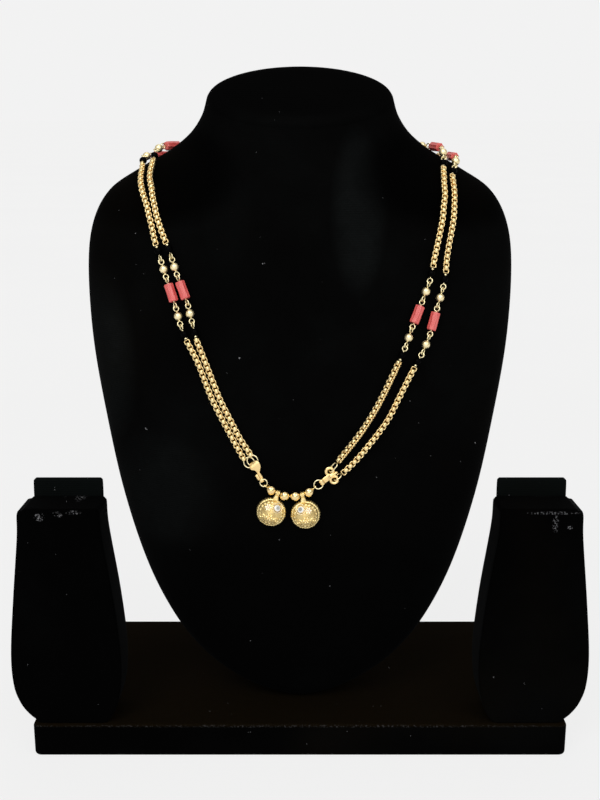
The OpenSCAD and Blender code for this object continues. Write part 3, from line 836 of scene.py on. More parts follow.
@dataclass(frozen=True)
class Gold(Finish):
    """Yellow gold: a little colour change, painted shade in its hollows and painted highlights on its raised work,
    with fine wear on its polish.
    """

    name: str = "polished_gold"
    slot: str = "gold"
    light: Colour = (0.96, 0.82, 0.44)
    deep: Colour = (0.78, 0.50, 0.16)
    rough: float = 0.16
    grain: float = 0.06
    grain_scale: float = 1400.0
    grain_depth: float = 0.02
    cloud_scale: float = 260.0
    relief: bool = False
    tarnish_scale: float = 800.0
    hollow: Colour = (0.46, 0.29, 0.08)
    pale: Colour = (1.0, 0.88, 0.72)
    highlight_spot: Place | None = None
    highlight_size: float = 1.7

    def build(self) -> bpy.types.Material:
        """Colour and roughness from two noises; the finer one also raises the surface.

        With relief, the pattern's first number is the height of the raised work: its hollows get painted shade and
        its tops a painted highlight.

        Returns:
            The material.
        """
        g = Graph(self.name, {"Metallic": 1.0})
        spot = g.spot()
        fine = g.noise(self.grain_scale, 3, spot)
        broad = g.noise(self.cloud_scale, 2, spot)
        colour = g.blend((broad * 0.6 + fine * 0.4).step(0.5, 0.3) * 0.5, self.light, self.deep)
        if self.relief:
            height, _, _ = g.numbers(g.pattern())
            # Painted shade in the hollows and a painted highlight on the tops, from the relief's height; tarnish in
            # the hollow colour at random.
            colour = g.blend(height.step(0.64, 0.14) * 0.85, colour, self.hollow)
            colour = g.blend(g.noise(self.tarnish_scale, 2, spot).step(0.48, 0.66) * 0.4, colour, self.hollow)
            colour = g.blend(height.step(0.75, 1.0) * 0.5, colour, self.pale)
        # A painted highlight round one spot.
        if self.highlight_spot:
            near = g.reach(self.highlight_spot).step(self.highlight_size * MM, self.highlight_size * 0.4 * MM)
            colour = g.blend(near * 0.9, colour, self.pale)
        g.feed("Base Color", colour)
        g.feed("Roughness", broad * self.grain + (fine * self.grain + (self.rough - self.grain * 0.5)))
        g.bump(fine, self.grain_depth, 0.6)
        return g.material


@dataclass(frozen=True)
class Coral(Finish):
    """Coral: salmon red with paler and deeper streaks along the tube, and a waxy polish."""

    name: str = "coral_red"
    slot: str = "coral"
    body: Colour = (0.60, 0.075, 0.068)
    pale: Colour = (0.77, 0.26, 0.23)
    deep: Colour = (0.44, 0.035, 0.035)

    def build(self) -> bpy.types.Material:
        """Streaks from noise drawn out along the tube's own pattern, and a fine grain.

        Returns:
            The material.
        """
        g = Graph(self.name, {"Specular IOR Level": 0.5, "Coat Weight": 0.35, "Coat Roughness": 0.12})
        stretched = g.node("ShaderNodeMapping", {}, {"Vector": g.pattern(), "Scale": (1.5, 26.0, 1.0)})
        streak = g.noise(2.0, 3, stretched)
        fine = g.noise(900, 3)
        colour = g.blend(streak.step(0.45, 0.75) * 0.8, self.body, self.pale)
        g.feed("Base Color", g.blend(streak.step(0.42, 0.25) * 0.7, colour, self.deep))
        g.feed("Roughness", fine * 0.2 + 0.28)
        g.bump(streak * 0.7 + fine * 0.3, 0.04, 0.6)
        return g.material


@dataclass(frozen=True)
class BlackGlass(Finish):
    """Black glass bead: deep gloss with faint swirls."""

    name: str = "black_bead_glass"
    slot: str = "black_glass"
    deep: Colour = (0.0003, 0.0003, 0.0004)
    swirl: Colour = (0.0012, 0.0011, 0.0012)

    def build(self) -> bpy.types.Material:
        """Near-black colour and roughness with a cloudy noise in them.

        Returns:
            The material.
        """
        g = Graph(self.name, {"Specular IOR Level": 0.02})
        cloud = g.noise(700, 3)
        g.feed("Base Color", g.blend(cloud.step(0.45, 0.8), self.deep, self.swirl))
        g.feed("Roughness", cloud * 0.2 + 0.2)
        g.bump(cloud, 0.02, 0.4)
        return g.material


@dataclass(frozen=True)
class WhiteStone(Finish):
    """White cut stone: bright, very glossy, with faint cloud inside."""

    name: str = "white_stone"
    slot: str = "stone"
    cloudy: Colour = (0.62, 0.62, 0.60)
    clear: Colour = (0.90, 0.89, 0.86)
    grey: Colour = (0.30, 0.30, 0.26)
    heart: Place = (0.0, 0.0, 0.0)
    heart_size: float = 0.9

    def build(self) -> bpy.types.Material:
        """White to grey from noise, with a painted dark reflection over the heart of the stone, under a hard gloss.

        Returns:
            The material.
        """
        g = Graph(self.name, {"Specular IOR Level": 0.5, "Coat Weight": 0.35, "Coat Roughness": 0.05})
        cloud = g.noise(1300, 2)
        white = g.blend(cloud, self.cloudy, self.clear)
        # Painted reflection: the stone's heart is greyer, for the dark surroundings seen in its facets.
        heart = g.reach(self.heart).step(self.heart_size * MM, self.heart_size * 0.7 * MM)
        g.feed("Base Color", g.blend(heart, white, self.grey))
        g.feed("Roughness", cloud * 0.05 + 0.04)
        return g.material


# Painted sheen on the bust: patches of lighter blue-grey pile where the light catches the nap
BUST_PATCHES = (
    Oval(-30.0, 232.0, 15.0, 42.0, 0.2), Oval(24.0, 228.0, 14.0, 40.0, 0.75), Oval(-84.0, 165.0, 18.0, 45.0, 1.0),
    Oval(-58.0, 112.0, 30.0, 34.0, 0.45), Oval(0.0, 262.0, 30.0, 10.0, 0.1),
)
# Painted shade on the bust: patches of it darkened where the light doesn't reach
BUST_SHADES = (
    Oval(-66.0, 243.0, 44.0, 24.0, 0.95), Oval(66.0, 243.0, 44.0, 24.0, 0.95), Oval(0.0, 276.0, 50.0, 12.0, 0.8),
    Oval(0.0, 60.0, 90.0, 40.0, 0.5),
)
# Dust, and a painted highlight on the edge fuzz, along the top front edges of the blocks and along the base board's
# front
STAND_DUST_AND_GLINT = (
    Oval(-107.0, 106.6, 2.4, 2.2, 1.0), Oval(-99.5, 107.6, 2.4, 1.5, 0.6), Oval(-93.0, 108.4, 3.6, 1.0, 0.6),
    Oval(105.0, 103.5, 1.5, 4.5, 0.5), Oval(104.0, 108.2, 13.0, 0.8, 0.35), Oval(111.0, 102.0, 1.6, 1.0, 0.6),
)
BASE_DUST_AND_GLINT = (Oval(0.0, 14.2, 150.0, 0.6, 0.1),)
VELVET = Velvet(patches=BUST_PATCHES, shades=BUST_SHADES)
BLOCK_VELVET = Velvet(
    name="board_velvet", pile=(0.0004, 0.0004, 0.0004), nap_and_sheen=(0.005, 0.0056, 0.0056), lint_share=0.02,
    dust_and_glint=STAND_DUST_AND_GLINT,
)
BASE_VELVET = replace(BLOCK_VELVET, name="base_velvet", lint_share=0.016, dust_and_glint=BASE_DUST_AND_GLINT, top_tint_above=13.6)
# Painted light: a lighter, bluer pile for the flap, standing in for the light on its face.
FLAP_LIT_VELVET = Velvet(name="flap_velvet_lit", pile=(0.0024, 0.0032, 0.0031), lint_share=0.035)
GOLD = Gold()
SATIN_GOLD = Gold(
    name="satin_gold", slot="gold_satin", light=(1.0, 0.86, 0.53), deep=(0.92, 0.70, 0.32), rough=0.34, grain=0.12,
    grain_scale=3200.0, grain_depth=0.04,
)
CHAIN_GOLD = Gold(name="chain_gold", light=(0.96, 0.76, 0.39), deep=(0.76, 0.44, 0.15), rough=0.28, grain=0.1)
PIN_GOLD = Gold(name="pin_gold", light=(1.0, 0.88, 0.54), deep=(0.88, 0.64, 0.28), rough=0.24, grain=0.1)
BALL_GOLD = Gold(name="ball_gold", light=(0.97, 0.74, 0.36), deep=(0.82, 0.50, 0.16), rough=0.07, grain=0.03)
HOOK_GOLD = Gold(name="hook_gold", light=(1.0, 0.75, 0.36), deep=(0.80, 0.47, 0.14), rough=0.24, grain=0.1)
VATI_GOLD = Gold(
    name="vati_gold", light=(1.0, 0.82, 0.40), deep=(0.90, 0.62, 0.23), rough=0.34, grain=0.1, relief=True,
)
CORAL = Coral()
BLACK_GLASS = BlackGlass()


# Display


@dataclass
class Bust:
    """The velvet neck bust."""

    up_steps: int = 8
    around_steps: int = 168
    lip_steps: int = 6
    neck_top: tuple[tuple[float, float], ...] = ((2.6, 0.5), (2.6, 0.25), (2.6, 0.0))

    def build(self) -> bpy.types.Object:
        """Rings of the skin from foot to neck, then the lip and the flat neck top, drawn to a point at both ends.

        Returns:
            The piece.
        """
        last = len(BUST_RINGS) - 1
        u = np.linspace(0, last, self.up_steps * last + 1)
        around = np.arange(self.around_steps) * 360 / self.around_steps
        body = skin(u[:, None], around[None, :])
        height, _, back, _, _, tip = BUST_RINGS[last]
        lean = math.radians(tip)
        middle = np.array([0.0, back, height])
        neck_up = np.array([0.0, -math.sin(lean), math.cos(lean)])
        rows = np.array([(0.0, 1.0), *LIP, *self.neck_top])
        bent = np.linspace(0, len(LIP), self.lip_steps * len(LIP) + 1)[1:]
        lip = between(rows, np.concatenate([bent, np.arange(len(LIP) + 1, len(rows))]))
        rim = middle + neck_up * lip[:, None, :1] + (body[-1] - middle)[None] * lip[:, None, 1:2]
        foot = np.broadcast_to(body[0].mean(axis=0), (1,) + body[0].shape)
        piece = make_piece("velvet_bust", Patch.grid(np.concatenate([foot, body, rim]), flip=True), VELVET)
        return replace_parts(piece, "bust")


@dataclass
class BaseBoard:
    """The velvet-covered board under everything."""

    width: float = 228.0
    depth: float = BASE_DEPTH
    height: float = BASE_HEIGHT
    corner: float = 3.0
    edge: float = 1.6
    corner_steps: int = 9
    edge_steps: int = 7

    def build(self) -> bpy.types.Object:
        """A rounded rectangle carried up a profile with rounded edges, closed to the middle above and below.

        Returns:
            The piece.
        """
        quarter = np.linspace(0, math.pi / 2, self.corner_steps)
        signs = np.repeat([(1, 1), (-1, 1), (-1, -1), (1, -1)], self.corner_steps, axis=0)
        centres = signs * (np.array([self.width, self.depth]) / 2 - self.corner)
        ways = spokes(np.concatenate([quarter + k * math.pi / 2 for k in range(4)]))
        bend = self.edge * spokes(np.linspace(0, math.pi / 2, self.edge_steps))
        low = np.stack([bend[:, 1] - self.edge, self.edge - bend[:, 0]], axis=1)
        high = bend - [self.edge, self.edge - self.height]
        profile = np.concatenate([low, high])
        grid = np.empty((len(profile), len(centres), 3))
        grid[..., :2] = centres + ways * (self.corner + profile[:, None, :1])
        grid[..., 2] = profile[:, 1:]
        foot, top = grid[:1] * [0.0, 0.0, 1.0], grid[-1:] * [0.0, 0.0, 1.0]
        patch = Patch.grid(np.concatenate([foot, grid, top]), flip=True)
        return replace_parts(make_piece("velvet_base_board", patch, BASE_VELVET), "base_board")


@dataclass
class SideStand:
    """A velvet-covered board that leans back on the base board: a block, or the thin flap behind it."""

    name: str
    side: int
    rows: np.ndarray
    front_y: float
    thickness: float
    edge: float
    finish: Finish
    gap: float = 0.3
    steps: int = 6
    bend_steps: int = 8
    corner_steps: int = 7

    def build(self, node: str) -> bpy.types.Object:
        """Rounded oblong sections lofted up the outline, drawn in over a rounded shoulder and closed to a line.

        Args:
            node: The CAD node that it stands for.

        Returns:
            The piece.
        """
        last = len(self.rows) - 1
        rows = between(self.rows, np.linspace(0, last, self.steps * last + 1))
        bend = np.linspace(0, math.pi / 2, self.bend_steps)[1:]
        shoulder = rows[rows[:, 0] < rows[-1, 0] - self.edge]
        top = np.repeat(rows[-1:], len(bend), axis=0)
        top[:, 0] += self.edge * (np.sin(bend) - 1)
        rows = np.concatenate([shoulder, top])
        inset = np.concatenate([np.zeros(len(shoulder)), self.edge * (1 - np.cos(bend))])
        outline = np.stack([self.section(row, drawn) for row, drawn in zip(rows, inset)])
        roof = outline[-1]
        half = self.thickness / 2
        ridge = np.clip(roof[:, 0], rows[-1, 2] + half, rows[-1, 1] - half)
        spine = np.stack([ridge, np.full(len(roof), half)], axis=1)
        shares = np.array([0.93, 0.8, 0.5, 0.0])[:, None, None]
        heights = np.concatenate([rows[:, 0], np.full(len(shares), rows[-1, 0])])
        grid = np.concatenate([outline, spine + (roof - spine) * shares])
        foot = np.broadcast_to(grid[:1].mean(axis=1, keepdims=True), (1,) + grid.shape[1:])
        points = self.lean_back(np.concatenate([foot, grid]), np.concatenate([heights[:1], heights]))
        patch = Patch.grid(points, flip=self.side > 0)
        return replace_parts(make_piece(self.name, patch, self.finish), node)

    def section(self, row: np.ndarray, inset: float) -> np.ndarray:
        """Oblong with round corners, drawn in all round.

        Args:
            row: Height, outer edge and inner edge.
            inset: How far it is drawn in.

        Returns:
            Points of distance from the middle and depth behind the front face.
        """
        r = self.edge - inset * 0.6
        outer, inner = row[1] - inset - r, row[2] + inset + r
        near, far = inset + r, self.thickness - inset - r
        quarter = np.linspace(0, math.pi / 2, self.corner_steps)
        corners = [(outer, near, -1), (outer, far, 0), (inner, far, 1), (inner, near, 2)]
        sides = [np.array([x, y]) + r * spokes(quarter + k * math.pi / 2) for x, y, k in corners]
        share = np.linspace(0, 1, 8)[1:-1, None]
        return np.concatenate([
            part for k, side in enumerate(sides)
            for part in (side, side[-1] + (sides[(k + 1) % 4][0] - side[-1]) * share)
        ])

    def lean_back(self, outline: np.ndarray, heights: np.ndarray) -> np.ndarray:
        """Points of the leaning board, cut level just above the base.

        Args:
            outline: Grid of distance from the middle and depth behind the front face.
            heights: How high each row lies up the board.

        Returns:
            Grid of points.
        """
        lean = math.radians(STAND_LEAN)
        up = (heights - BASE_HEIGHT)[:, None]
        behind = outline[..., 1]
        y = self.front_y + up * math.sin(lean) + behind * math.cos(lean)
        z = BASE_HEIGHT + up * math.cos(lean) - behind * math.sin(lean)
        return np.stack([self.side * outline[..., 0], y, np.maximum(z, BASE_HEIGHT + self.gap)], axis=-1)


def side_stands() -> list[bpy.types.Object]:
    """Both blocks and both flaps, each flap a gap behind its block.

    Returns:
        The pieces.
    """
    behind = STAND_FRONT + (BLOCK_DEPTH + FLAP_GAP) / math.cos(math.radians(STAND_LEAN))
    pieces = []
    for word, side in (("left", -1), ("right", 1)):
        block = SideStand(
            f"velvet_stand_{word}", side, STAND_ROWS, STAND_FRONT, BLOCK_DEPTH, BLOCK_EDGE, BLOCK_VELVET)
        flap = SideStand(f"velvet_flap_{word}", side, FLAP_ROWS, behind, FLAP_DEPTH, FLAP_EDGE, FLAP_LIT_VELVET)
        pieces += [block.build(f"stand_{word}"), flap.build(f"flap_{word}")]
    return pieces


# Chains


@dataclass
class BoxChain:
    """Venetian box chain: square links, each a quarter turn from the next."""

    width: float = 2.6
    pitch: float = 1.22
    strip: float = 0.42
    strip_width: float = 1.45
    link_sides: int = 12
    corner_power: float = 0.45
    aim: float = 0.6
    roll: float = 0.0

    def link(self) -> np.ndarray:
        """Points of one link about its middle: a box-shaped ring of flat strip, its length along Z.

        Returns:
            Grid of points.
        """
        half_long = self.pitch / 2 + self.strip / 2
        half_wide = self.width / 2 - self.strip / 2
        path = box_outline(half_long, half_wide, self.link_sides, self.corner_power)
        ahead = np.roll(path, -1, axis=0) - np.roll(path, 1, axis=0)
        way = unit(np.stack([ahead[:, 1], -ahead[:, 0]], axis=1))
        h, w = self.strip / 2, self.strip_width / 2
        section = np.array([[h, -w * 0.6], [h, w * 0.6], [h * 0.4, w], [-h, w * 0.7], [-h, -w * 0.7], [h * 0.4, -w]])
        flat = path[:, None] + way[:, None] * section[None, :, :1]
        return np.stack([flat[..., 1], np.broadcast_to(section[:, 1], flat.shape[:2]), flat[..., 0]], axis=-1)

    def links(self, path: np.ndarray, ways: np.ndarray) -> Patch:
        """Links along a path, as one array of every link's points.

        Args:
            path: Fine stations of the chain.
            ways: The way off the velvet at each.

        Returns:
            The patch.
        """
        runs = np.concatenate([[0], np.cumsum(np.linalg.norm(np.diff(path, axis=0), axis=1))])
        reach = self.pitch / 2 + self.strip
        count = int((runs[-1] - 2 * reach) / self.pitch) + 1
        middles = np.linspace(reach, runs[-1] - reach, count)

        def at(run: np.ndarray, table: np.ndarray) -> np.ndarray:
            """The table's rows at these distances."""
            return np.stack([np.interp(run, runs, table[:, k]) for k in range(3)], axis=-1)

        z = unit(at(middles + self.aim, path) - at(middles - self.aim, path))
        way = at(middles, ways)
        x = unit(way - z * (way * z).sum(axis=1, keepdims=True))
        y = np.cross(z, x)
        turn = np.radians(self.roll + 90 * (np.arange(count) % 2))[:, None]
        x, y = np.cos(turn) * x + np.sin(turn) * y, np.cos(turn) * y - np.sin(turn) * x
        link = self.link()
        base, x, y, z = (part[:, None, None] for part in (at(middles, path), x, y, z))
        points = base + link[..., :1] * y + link[..., 1:2] * x + link[..., 2:] * z
        one = Patch.grid(points[0], closed=True)
        size = len(one.points)
        faces = (one.faces[None] + size * np.arange(count)[:, None, None]).reshape(-1, 4)
        return Patch(points.reshape(-1, 3), faces, np.tile(one.uv, (count, 1, 1)))


@dataclass
class Strands:
    """The four strand halves: chains in place of the plain tubes, fluted coral tubes, and beads.

    A coral's and a bead's joint is the place where its pin's loop meets the next, as a run from the coral's middle.
    """

    coral_length: float = 7.5
    coral_width: float = 4.1
    coral_joint: float = 6.11
    group_end: float = 20.24
    flutes: int = 8
    flute_depth: float = 0.27
    hole: float = 0.4
    gold_joint: float = 14.03
    gold_width: float = 3.5
    black_width: float = 3.2
    black_off: float = 3.81
    round_over: float = 0.45
    wobble: float = 0.06
    nape_steps: int = 90
    strands: dict[Half, Strand] = field(default_factory=dict)

    def build(self) -> list[bpy.types.Object]:
        """Builds every chain, coral tube and bead.

        Returns:
            The pieces.
        """
        self.strands = {half: Strand(half.route) for half in Half}
        pieces = []
        for half, strand in self.strands.items():
            name, (front, back) = half.label, half.corals
            pieces += [
                self.stretch(f"lower_{name}", strand, 0.0, front - self.group_end, half.roll, half.lead),
                self.stretch(f"upper_{name}", strand, front + self.group_end, back - self.group_end),
                self.coral(f"front_{name}", strand, front), self.coral(f"back_{name}", strand, back),
                *self.beads(name, strand, [(front, -1), (front, 1), (back, -1), (back, 1)]),
            ]
        pieces.append(self.nape("back_outer", Half.LEFT_OUTER, Half.RIGHT_OUTER))
        pieces.append(self.nape("back_inner", Half.LEFT_INNER, Half.RIGHT_INNER))
        return pieces

    def chain(self, name: str, path: np.ndarray, ways: np.ndarray, roll: float = 0.0) -> bpy.types.Object:
        """A chain along a path.

        Args:
            name: Which chain.
            path: Fine stations of the chain.
            ways: The way off the velvet at each.
            roll: Degrees by which its first link is rolled.

        Returns:
            The piece.
        """
        patch = BoxChain(roll=roll).links(path, ways)
        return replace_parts(make_piece(f"box_chain_{name}", patch, CHAIN_GOLD, weld=1e-6), f"chain_{name}")

    def stretch(self, name: str, strand: Strand, start: float, end: float, roll: float = 0.0,
                lead: float = 0.0) -> bpy.types.Object:
        """A stretch of chain along a strand.

        Args:
            name: Which chain.
            strand: The strand.
            start: Where it starts, as a distance along the strand.
            end: Where it ends.
            roll: Degrees by which its first link is rolled.
            lead: How far it goes straight on in front of its start.

        Returns:
            The piece.
        """
        run = np.linspace(start, end, max(int((end - start) * 2), 8))
        path, ways = strand.place(run), strand.way_off(run)
        if lead > 0:
            path = np.concatenate([path[:1] - unit(path[1:2] - path[:1]) * lead, path])
            ways = np.concatenate([ways[:1], ways])
        return self.chain(name, path, ways, roll)

    def nape(self, name: str, left: Half, right: Half) -> bpy.types.Object:
        """The chain round the nape, from behind the left shoulder to behind the right one.

        Args:
            name: Which chain.
            left: The half that it starts on.
            right: The half that it ends on.

        Returns:
            The piece.
        """
        strands = [self.strands[half] for half in (left, right)]
        runs = [np.linspace(half.corals[1] + self.group_end, strand.length, self.nape_steps)
                for half, strand in zip((left, right), strands)]
        runs[1] = runs[1][::-1][1:]
        path = np.concatenate([strand.place(run) for strand, run in zip(strands, runs)])
        ways = np.concatenate([strand.way_off(run) for strand, run in zip(strands, runs)])
        return self.chain(name, path, ways)

    def beads(self, name: str, strand: Strand, spots: list[tuple[float, int]]) -> list[bpy.types.Object]:
        """The satin gold and the black beads of one strand half, each turned about its own pin.

        Args:
            name: The strand half.
            strand: The strand that they are on.
            spots: Middles of the corals, each with the side on which the beads are.

        Returns:
            Both pieces.
        """
        gold, black = [], []
        for middle, side in spots:
            joints = [middle + side * far for far in (self.coral_joint, self.gold_joint, self.group_end)]
            near, joint, end = (strand.place(run) for run in joints)
            way = strand.way_off(joints[1])
            gold_off = float(np.linalg.norm(joint - near)) / 2
            for balls, width, axes, off in (
                (gold, self.gold_width, Axes.along(near, joint, way), gold_off),
                (black, self.black_width, Axes.along(joint, end, way), self.black_off),
            ):
                balls.append(drilled_ball(width, self.hole * 2, axes.moved(0, 0, off)))
        satin = make_piece(f"satin_beads_{name}", Patch.joined(gold), SATIN_GOLD)
        glass = make_piece(f"black_beads_round_{name}", Patch.joined(black), BLACK_GLASS)
        return [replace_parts(satin, f"gold_beads_{name}"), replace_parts(glass, f"black_beads_{name}")]

    def coral(self, name: str, strand: Strand, middle: float) -> bpy.types.Object:
        """A fluted tube: the radius falls to flats between the ridges, and rounds over at both ends.

        Args:
            name: Which tube.
            strand: The strand that it is on.
            middle: Distance of its middle from the strand's front end.

        Returns:
            The piece.
        """
        start, end = strand.place(middle - self.coral_joint), strand.place(middle + self.coral_joint)
        span = float(np.linalg.norm(end - start))
        axes = Axes.along(start, end, strand.way_off(middle)).moved(0, 0, (span - self.coral_length) / 2)
        r, length, bend_r = self.coral_width / 2, self.coral_length, self.round_over
        t = np.linspace(0, 1, 7)
        foot = np.stack([self.hole + (r - bend_r - self.hole) * t, np.zeros_like(t)], axis=1)
        bend = np.radians(90 * t[1:])
        low = np.stack([r - bend_r + bend_r * np.sin(bend), bend_r - bend_r * np.cos(bend)], axis=1)
        up = np.linspace(bend_r, length - bend_r, 17)[1:-1]
        wall = np.stack([np.full_like(up, r), up], axis=1)
        half = np.concatenate([foot, low])
        profile = np.concatenate([half, wall, half[::-1] * [1, -1] + [0, length]])
        angle = ring_of(self.flutes * 10, math.radians(7))
        ridge = (np.abs(np.mod(angle * self.flutes / (2 * math.pi), 1) - 0.5) * 2) ** 1.6
        share = np.clip((profile[:, :1] - self.hole) / (r - self.hole), 0, 1)
        slow = self.wobble * np.sin(profile[:, 1:] * 1.1 + 2 * angle)
        radius = profile[:, :1] - share**2 * (self.flute_depth * (1 - ridge) + slow.clip(0))
        patch = turned(radius, profile[:, 1:], angle, axes)
        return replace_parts(make_piece(f"coral_tube_{name}", patch, CORAL), f"coral_{name}")


# Pendant


@dataclass
class Vati:
    """A small bowl with raised floral work, its bail and neck; the stone's own solid stays.

    Its place is a run along the pendant wire, its turn is in degrees, the stone's place is right of and above its
    middle, and a mirror of -1 has the relief the other way round.
    """

    name: str
    run: float
    turn: float
    stone: tuple[float, float]
    mirror: int
    diameter: float = 12.3
    height: float = 4.6
    wall: float = 0.8
    bail_to_middle: float = 8.75
    rim_lift: float = 0.7
    wire_lift: float = 2.5
    seat: float = 1.55
    plain_shade: float = 0.6
    stone_rise: float = 0.9
    rosette_rise: float = 0.3
    flower_y: float = -1.6
    stud_ring: float = 4.75
    stud_count: int = 18
    scallops: int = 36
    facets: int = 12
    bail_radius: float = 1.02
    bail_wire: float = 0.58
    bail_places: tuple[float, ...] = (-0.5, 0.0, 0.5)
    neck_half: tuple[float, float] = (0.65, 1.35)
    neck_lift: float = 1.2
    rings: int = 110
    hollow_rings: int = 24
    sides: int = 288

    @property
    def frame(self) -> Axes:
        """Frame on the wire in the bail, Y up the bowl and Z off the velvet."""
        wire = Strand(PENDANT_WIRE)
        return Axes.on_velvet(wire.place(self.run), wire.way_off(self.run), self.turn)

    @property
    def bowl(self) -> Axes:
        """Frame in the middle of the rim."""
        return self.frame.moved(0, -self.bail_to_middle, self.rim_lift - self.wire_lift)

    @property
    def ball(self) -> float:
        """Radius of the ball that the dome is cut from."""
        return ((self.diameter / 2) ** 2 + self.height**2) / (2 * self.height)

    @property
    def rosette(self) -> tuple[float, float]:
        """Place of the rosette, on the other side of the middle from the stone."""
        return -self.stone[0], self.stone[1] * 0.75

    @property
    def heart(self) -> Place:
        """Middle of the stone in metres."""
        return self.on_dome(self.stone, self.stone_rise)

    def relief(self, x: np.ndarray, y: np.ndarray) -> np.ndarray:
        """Height of the raised work over the dome, as the highest of its parts at each spot.

        Args:
            x: Distance right of the bowl's middle in millimetres.
            y: Distance above it.

        Returns:
            Heights in millimetres.
        """
        x = x * self.mirror
        sx, sy = self.stone[0] * self.mirror, self.stone[1]
        far, bearing = np.hypot(x, y), np.arctan2(y, x)
        rim = self.diameter / 2

        def band(distance: np.ndarray, middle: float, half: float) -> np.ndarray:
            """1 on a line at a distance, falling by the square to 0 at half a width from it."""
            return np.clip(1 - ((distance - middle) / half) ** 2, 0, 1)

        def dome(cx: float, cy: float, rx: float, ry: float, tilt: float, high: float) -> np.ndarray:
            """An oval boss.

            Args:
                cx: Its middle's distance right.
                cy: Its middle's distance up.
                rx: Half its length.
                ry: Half its width.
                tilt: Angle of its length.
                high: Its height.

            Returns:
                Heights.
            """
            c, s = math.cos(tilt), math.sin(tilt)
            u, v = ((x - cx) * c + (y - cy) * s) / rx, (-(x - cx) * s + (y - cy) * c) / ry
            return high * np.sqrt(np.clip(1 - u * u - v * v, 0, 1))

        def blossom(cx: float, cy: float, ring: float, petal: tuple[float, float], high: tuple[float, float],
                    start: float) -> np.ndarray:
            """A round heart and six oval petals on a ring about it.

            Args:
                cx: Its middle's distance right.
                cy: Its middle's distance up.
                ring: The ring's radius.
                petal: Half a petal's length and width.
                high: Heights of the heart and of the petals.
                start: Angle of the first petal.

            Returns:
                Heights.
            """
            turns = [start + math.pi / 3 * j for j in range(6)]
            petals = [dome(cx + ring * math.cos(a), cy + ring * math.sin(a), *petal, a, high[1]) for a in turns]
            return np.maximum.reduce([dome(cx, cy, 0.5, 0.5, 0, high[0]), *petals])

        def scroll(side: int) -> np.ndarray:
            """A spiral wire beside the flower.

            Args:
                side: 1 for the right and -1 for the left.

            Returns:
                Heights.
            """
            u, v = (x - side * 3.1) * side, y + 2.3
            curl = np.hypot(u, v)
            arm = np.abs(np.mod(curl - 0.19 * np.arctan2(v, u) - 0.25, 1.2) - 0.6)
            return 0.42 * np.sqrt(np.clip(1 - (arm / 0.24) ** 2, 0, 1)) * (curl < 1.75)

        studs = 0.32 * np.sqrt(band(far, self.stud_ring, 0.5))
        studs = studs * (np.cos(bearing * self.stud_count) * 0.5 + 0.5) ** 0.6
        rim_wire = np.sqrt(band(far, rim - 0.42, 0.4)) * (0.34 + 0.07 * np.cos(bearing * self.scallops))
        h = np.maximum.reduce([
            blossom(0.0, self.flower_y, 1.05, (0.66, 0.5), (0.7, 0.6), 0.0),
            blossom(-sx, sy * 0.75, 1.15, (0.75, 0.48), (0.55, 0.5), 0.2),
            scroll(-1), scroll(1), studs, rim_wire,
        ])
        # matting between, and the deep arch over the flower
        mat = 0.04 * (np.sin(x * 5.1 + 1.3 * np.sin(y * 3.2)) * np.sin(y * 4.3 + 1.1 * np.sin(x * 3.7)))
        h = np.maximum(h + mat * (h < 0.25), 0)
        arch = band(np.hypot(x, (y - self.flower_y) * 0.8), 1.85, 0.38) * (y > self.flower_y + 0.5)
        h = h * (1 - arch) - 0.42 * arch
        # bezel round the stone, and nothing at the rim's very edge
        seat = np.hypot(x - sx, y - sy)
        bezel = 0.72 * band(seat, self.seat + 0.2, 0.24) ** 0.35
        return np.maximum(h * (seat > self.seat + 0.15), bezel) * np.clip((rim - far) / 0.12, 0, 1)

    def build(self, node: str) -> bpy.types.Object:
        """The relief raised along the dome's own way out, with the plain hollow behind it, the bail and the neck.

        Args:
            node: The CAD node that it stands for.

        Returns:
            The piece.
        """
        bowl, ball = self.bowl, self.ball
        drop = ball - self.height
        share = np.linspace(0, 1, self.rings)[:, None] ** 0.85
        angle = ring_of(self.sides)
        far = self.diameter / 2 * share
        sphere = self.cap(ball, far, angle)
        relief = self.relief(sphere[..., 0], sphere[..., 1])
        raised = sphere * (1 + relief / ball)[..., None] - [0, 0, drop]
        facet = 1 - 0.012 * (1 - np.cos(angle * self.facets)) * share**6
        raised[..., :2] *= facet[..., None]
        inner_ball = ball - self.wall
        inner_far = math.sqrt(inner_ball**2 - drop**2) * np.linspace(1, 0, self.hollow_rings)[:, None]
        hollow = self.cap(inner_ball, inner_far, angle) - [0, 0, drop]
        shell = Patch.grid(bowl.out(np.concatenate([raised, hollow])))
        plain = np.full(hollow.shape[:2], self.plain_shade)
        # The relief's height goes into the pattern, for the finish's painted shade in the hollows and painted
        # highlight on the tops.
        shell.uv[..., 0] = np.concatenate([(relief + 0.45) / 1.2, plain]).ravel()[shell.faces]
        fittings = [*self.bail(), self.neck()]
        for fitting in fittings:
            fitting.uv[..., 0] = self.plain_shade
        # A painted highlight on the rosette.
        finish = replace(VATI_GOLD, name=f"{self.name}_gold", highlight_spot=self.on_dome(self.rosette, self.rosette_rise))
        patch = Patch.joined([shell, *fittings])
        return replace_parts(make_piece(self.name, patch, finish, weld=2e-4), node)

    @staticmethod
    def cap(ball: float, far: np.ndarray, angle: np.ndarray) -> np.ndarray:
        """Points on a ball at distances from its axis.

        Args:
            ball: The ball's radius.
            far: Distances, as a column.
            angle: Angles round the axis.

        Returns:
            Grid of points about the ball's middle.
        """
        return round_about(far, np.sqrt(np.maximum(ball**2 - far**2, 0)), angle)

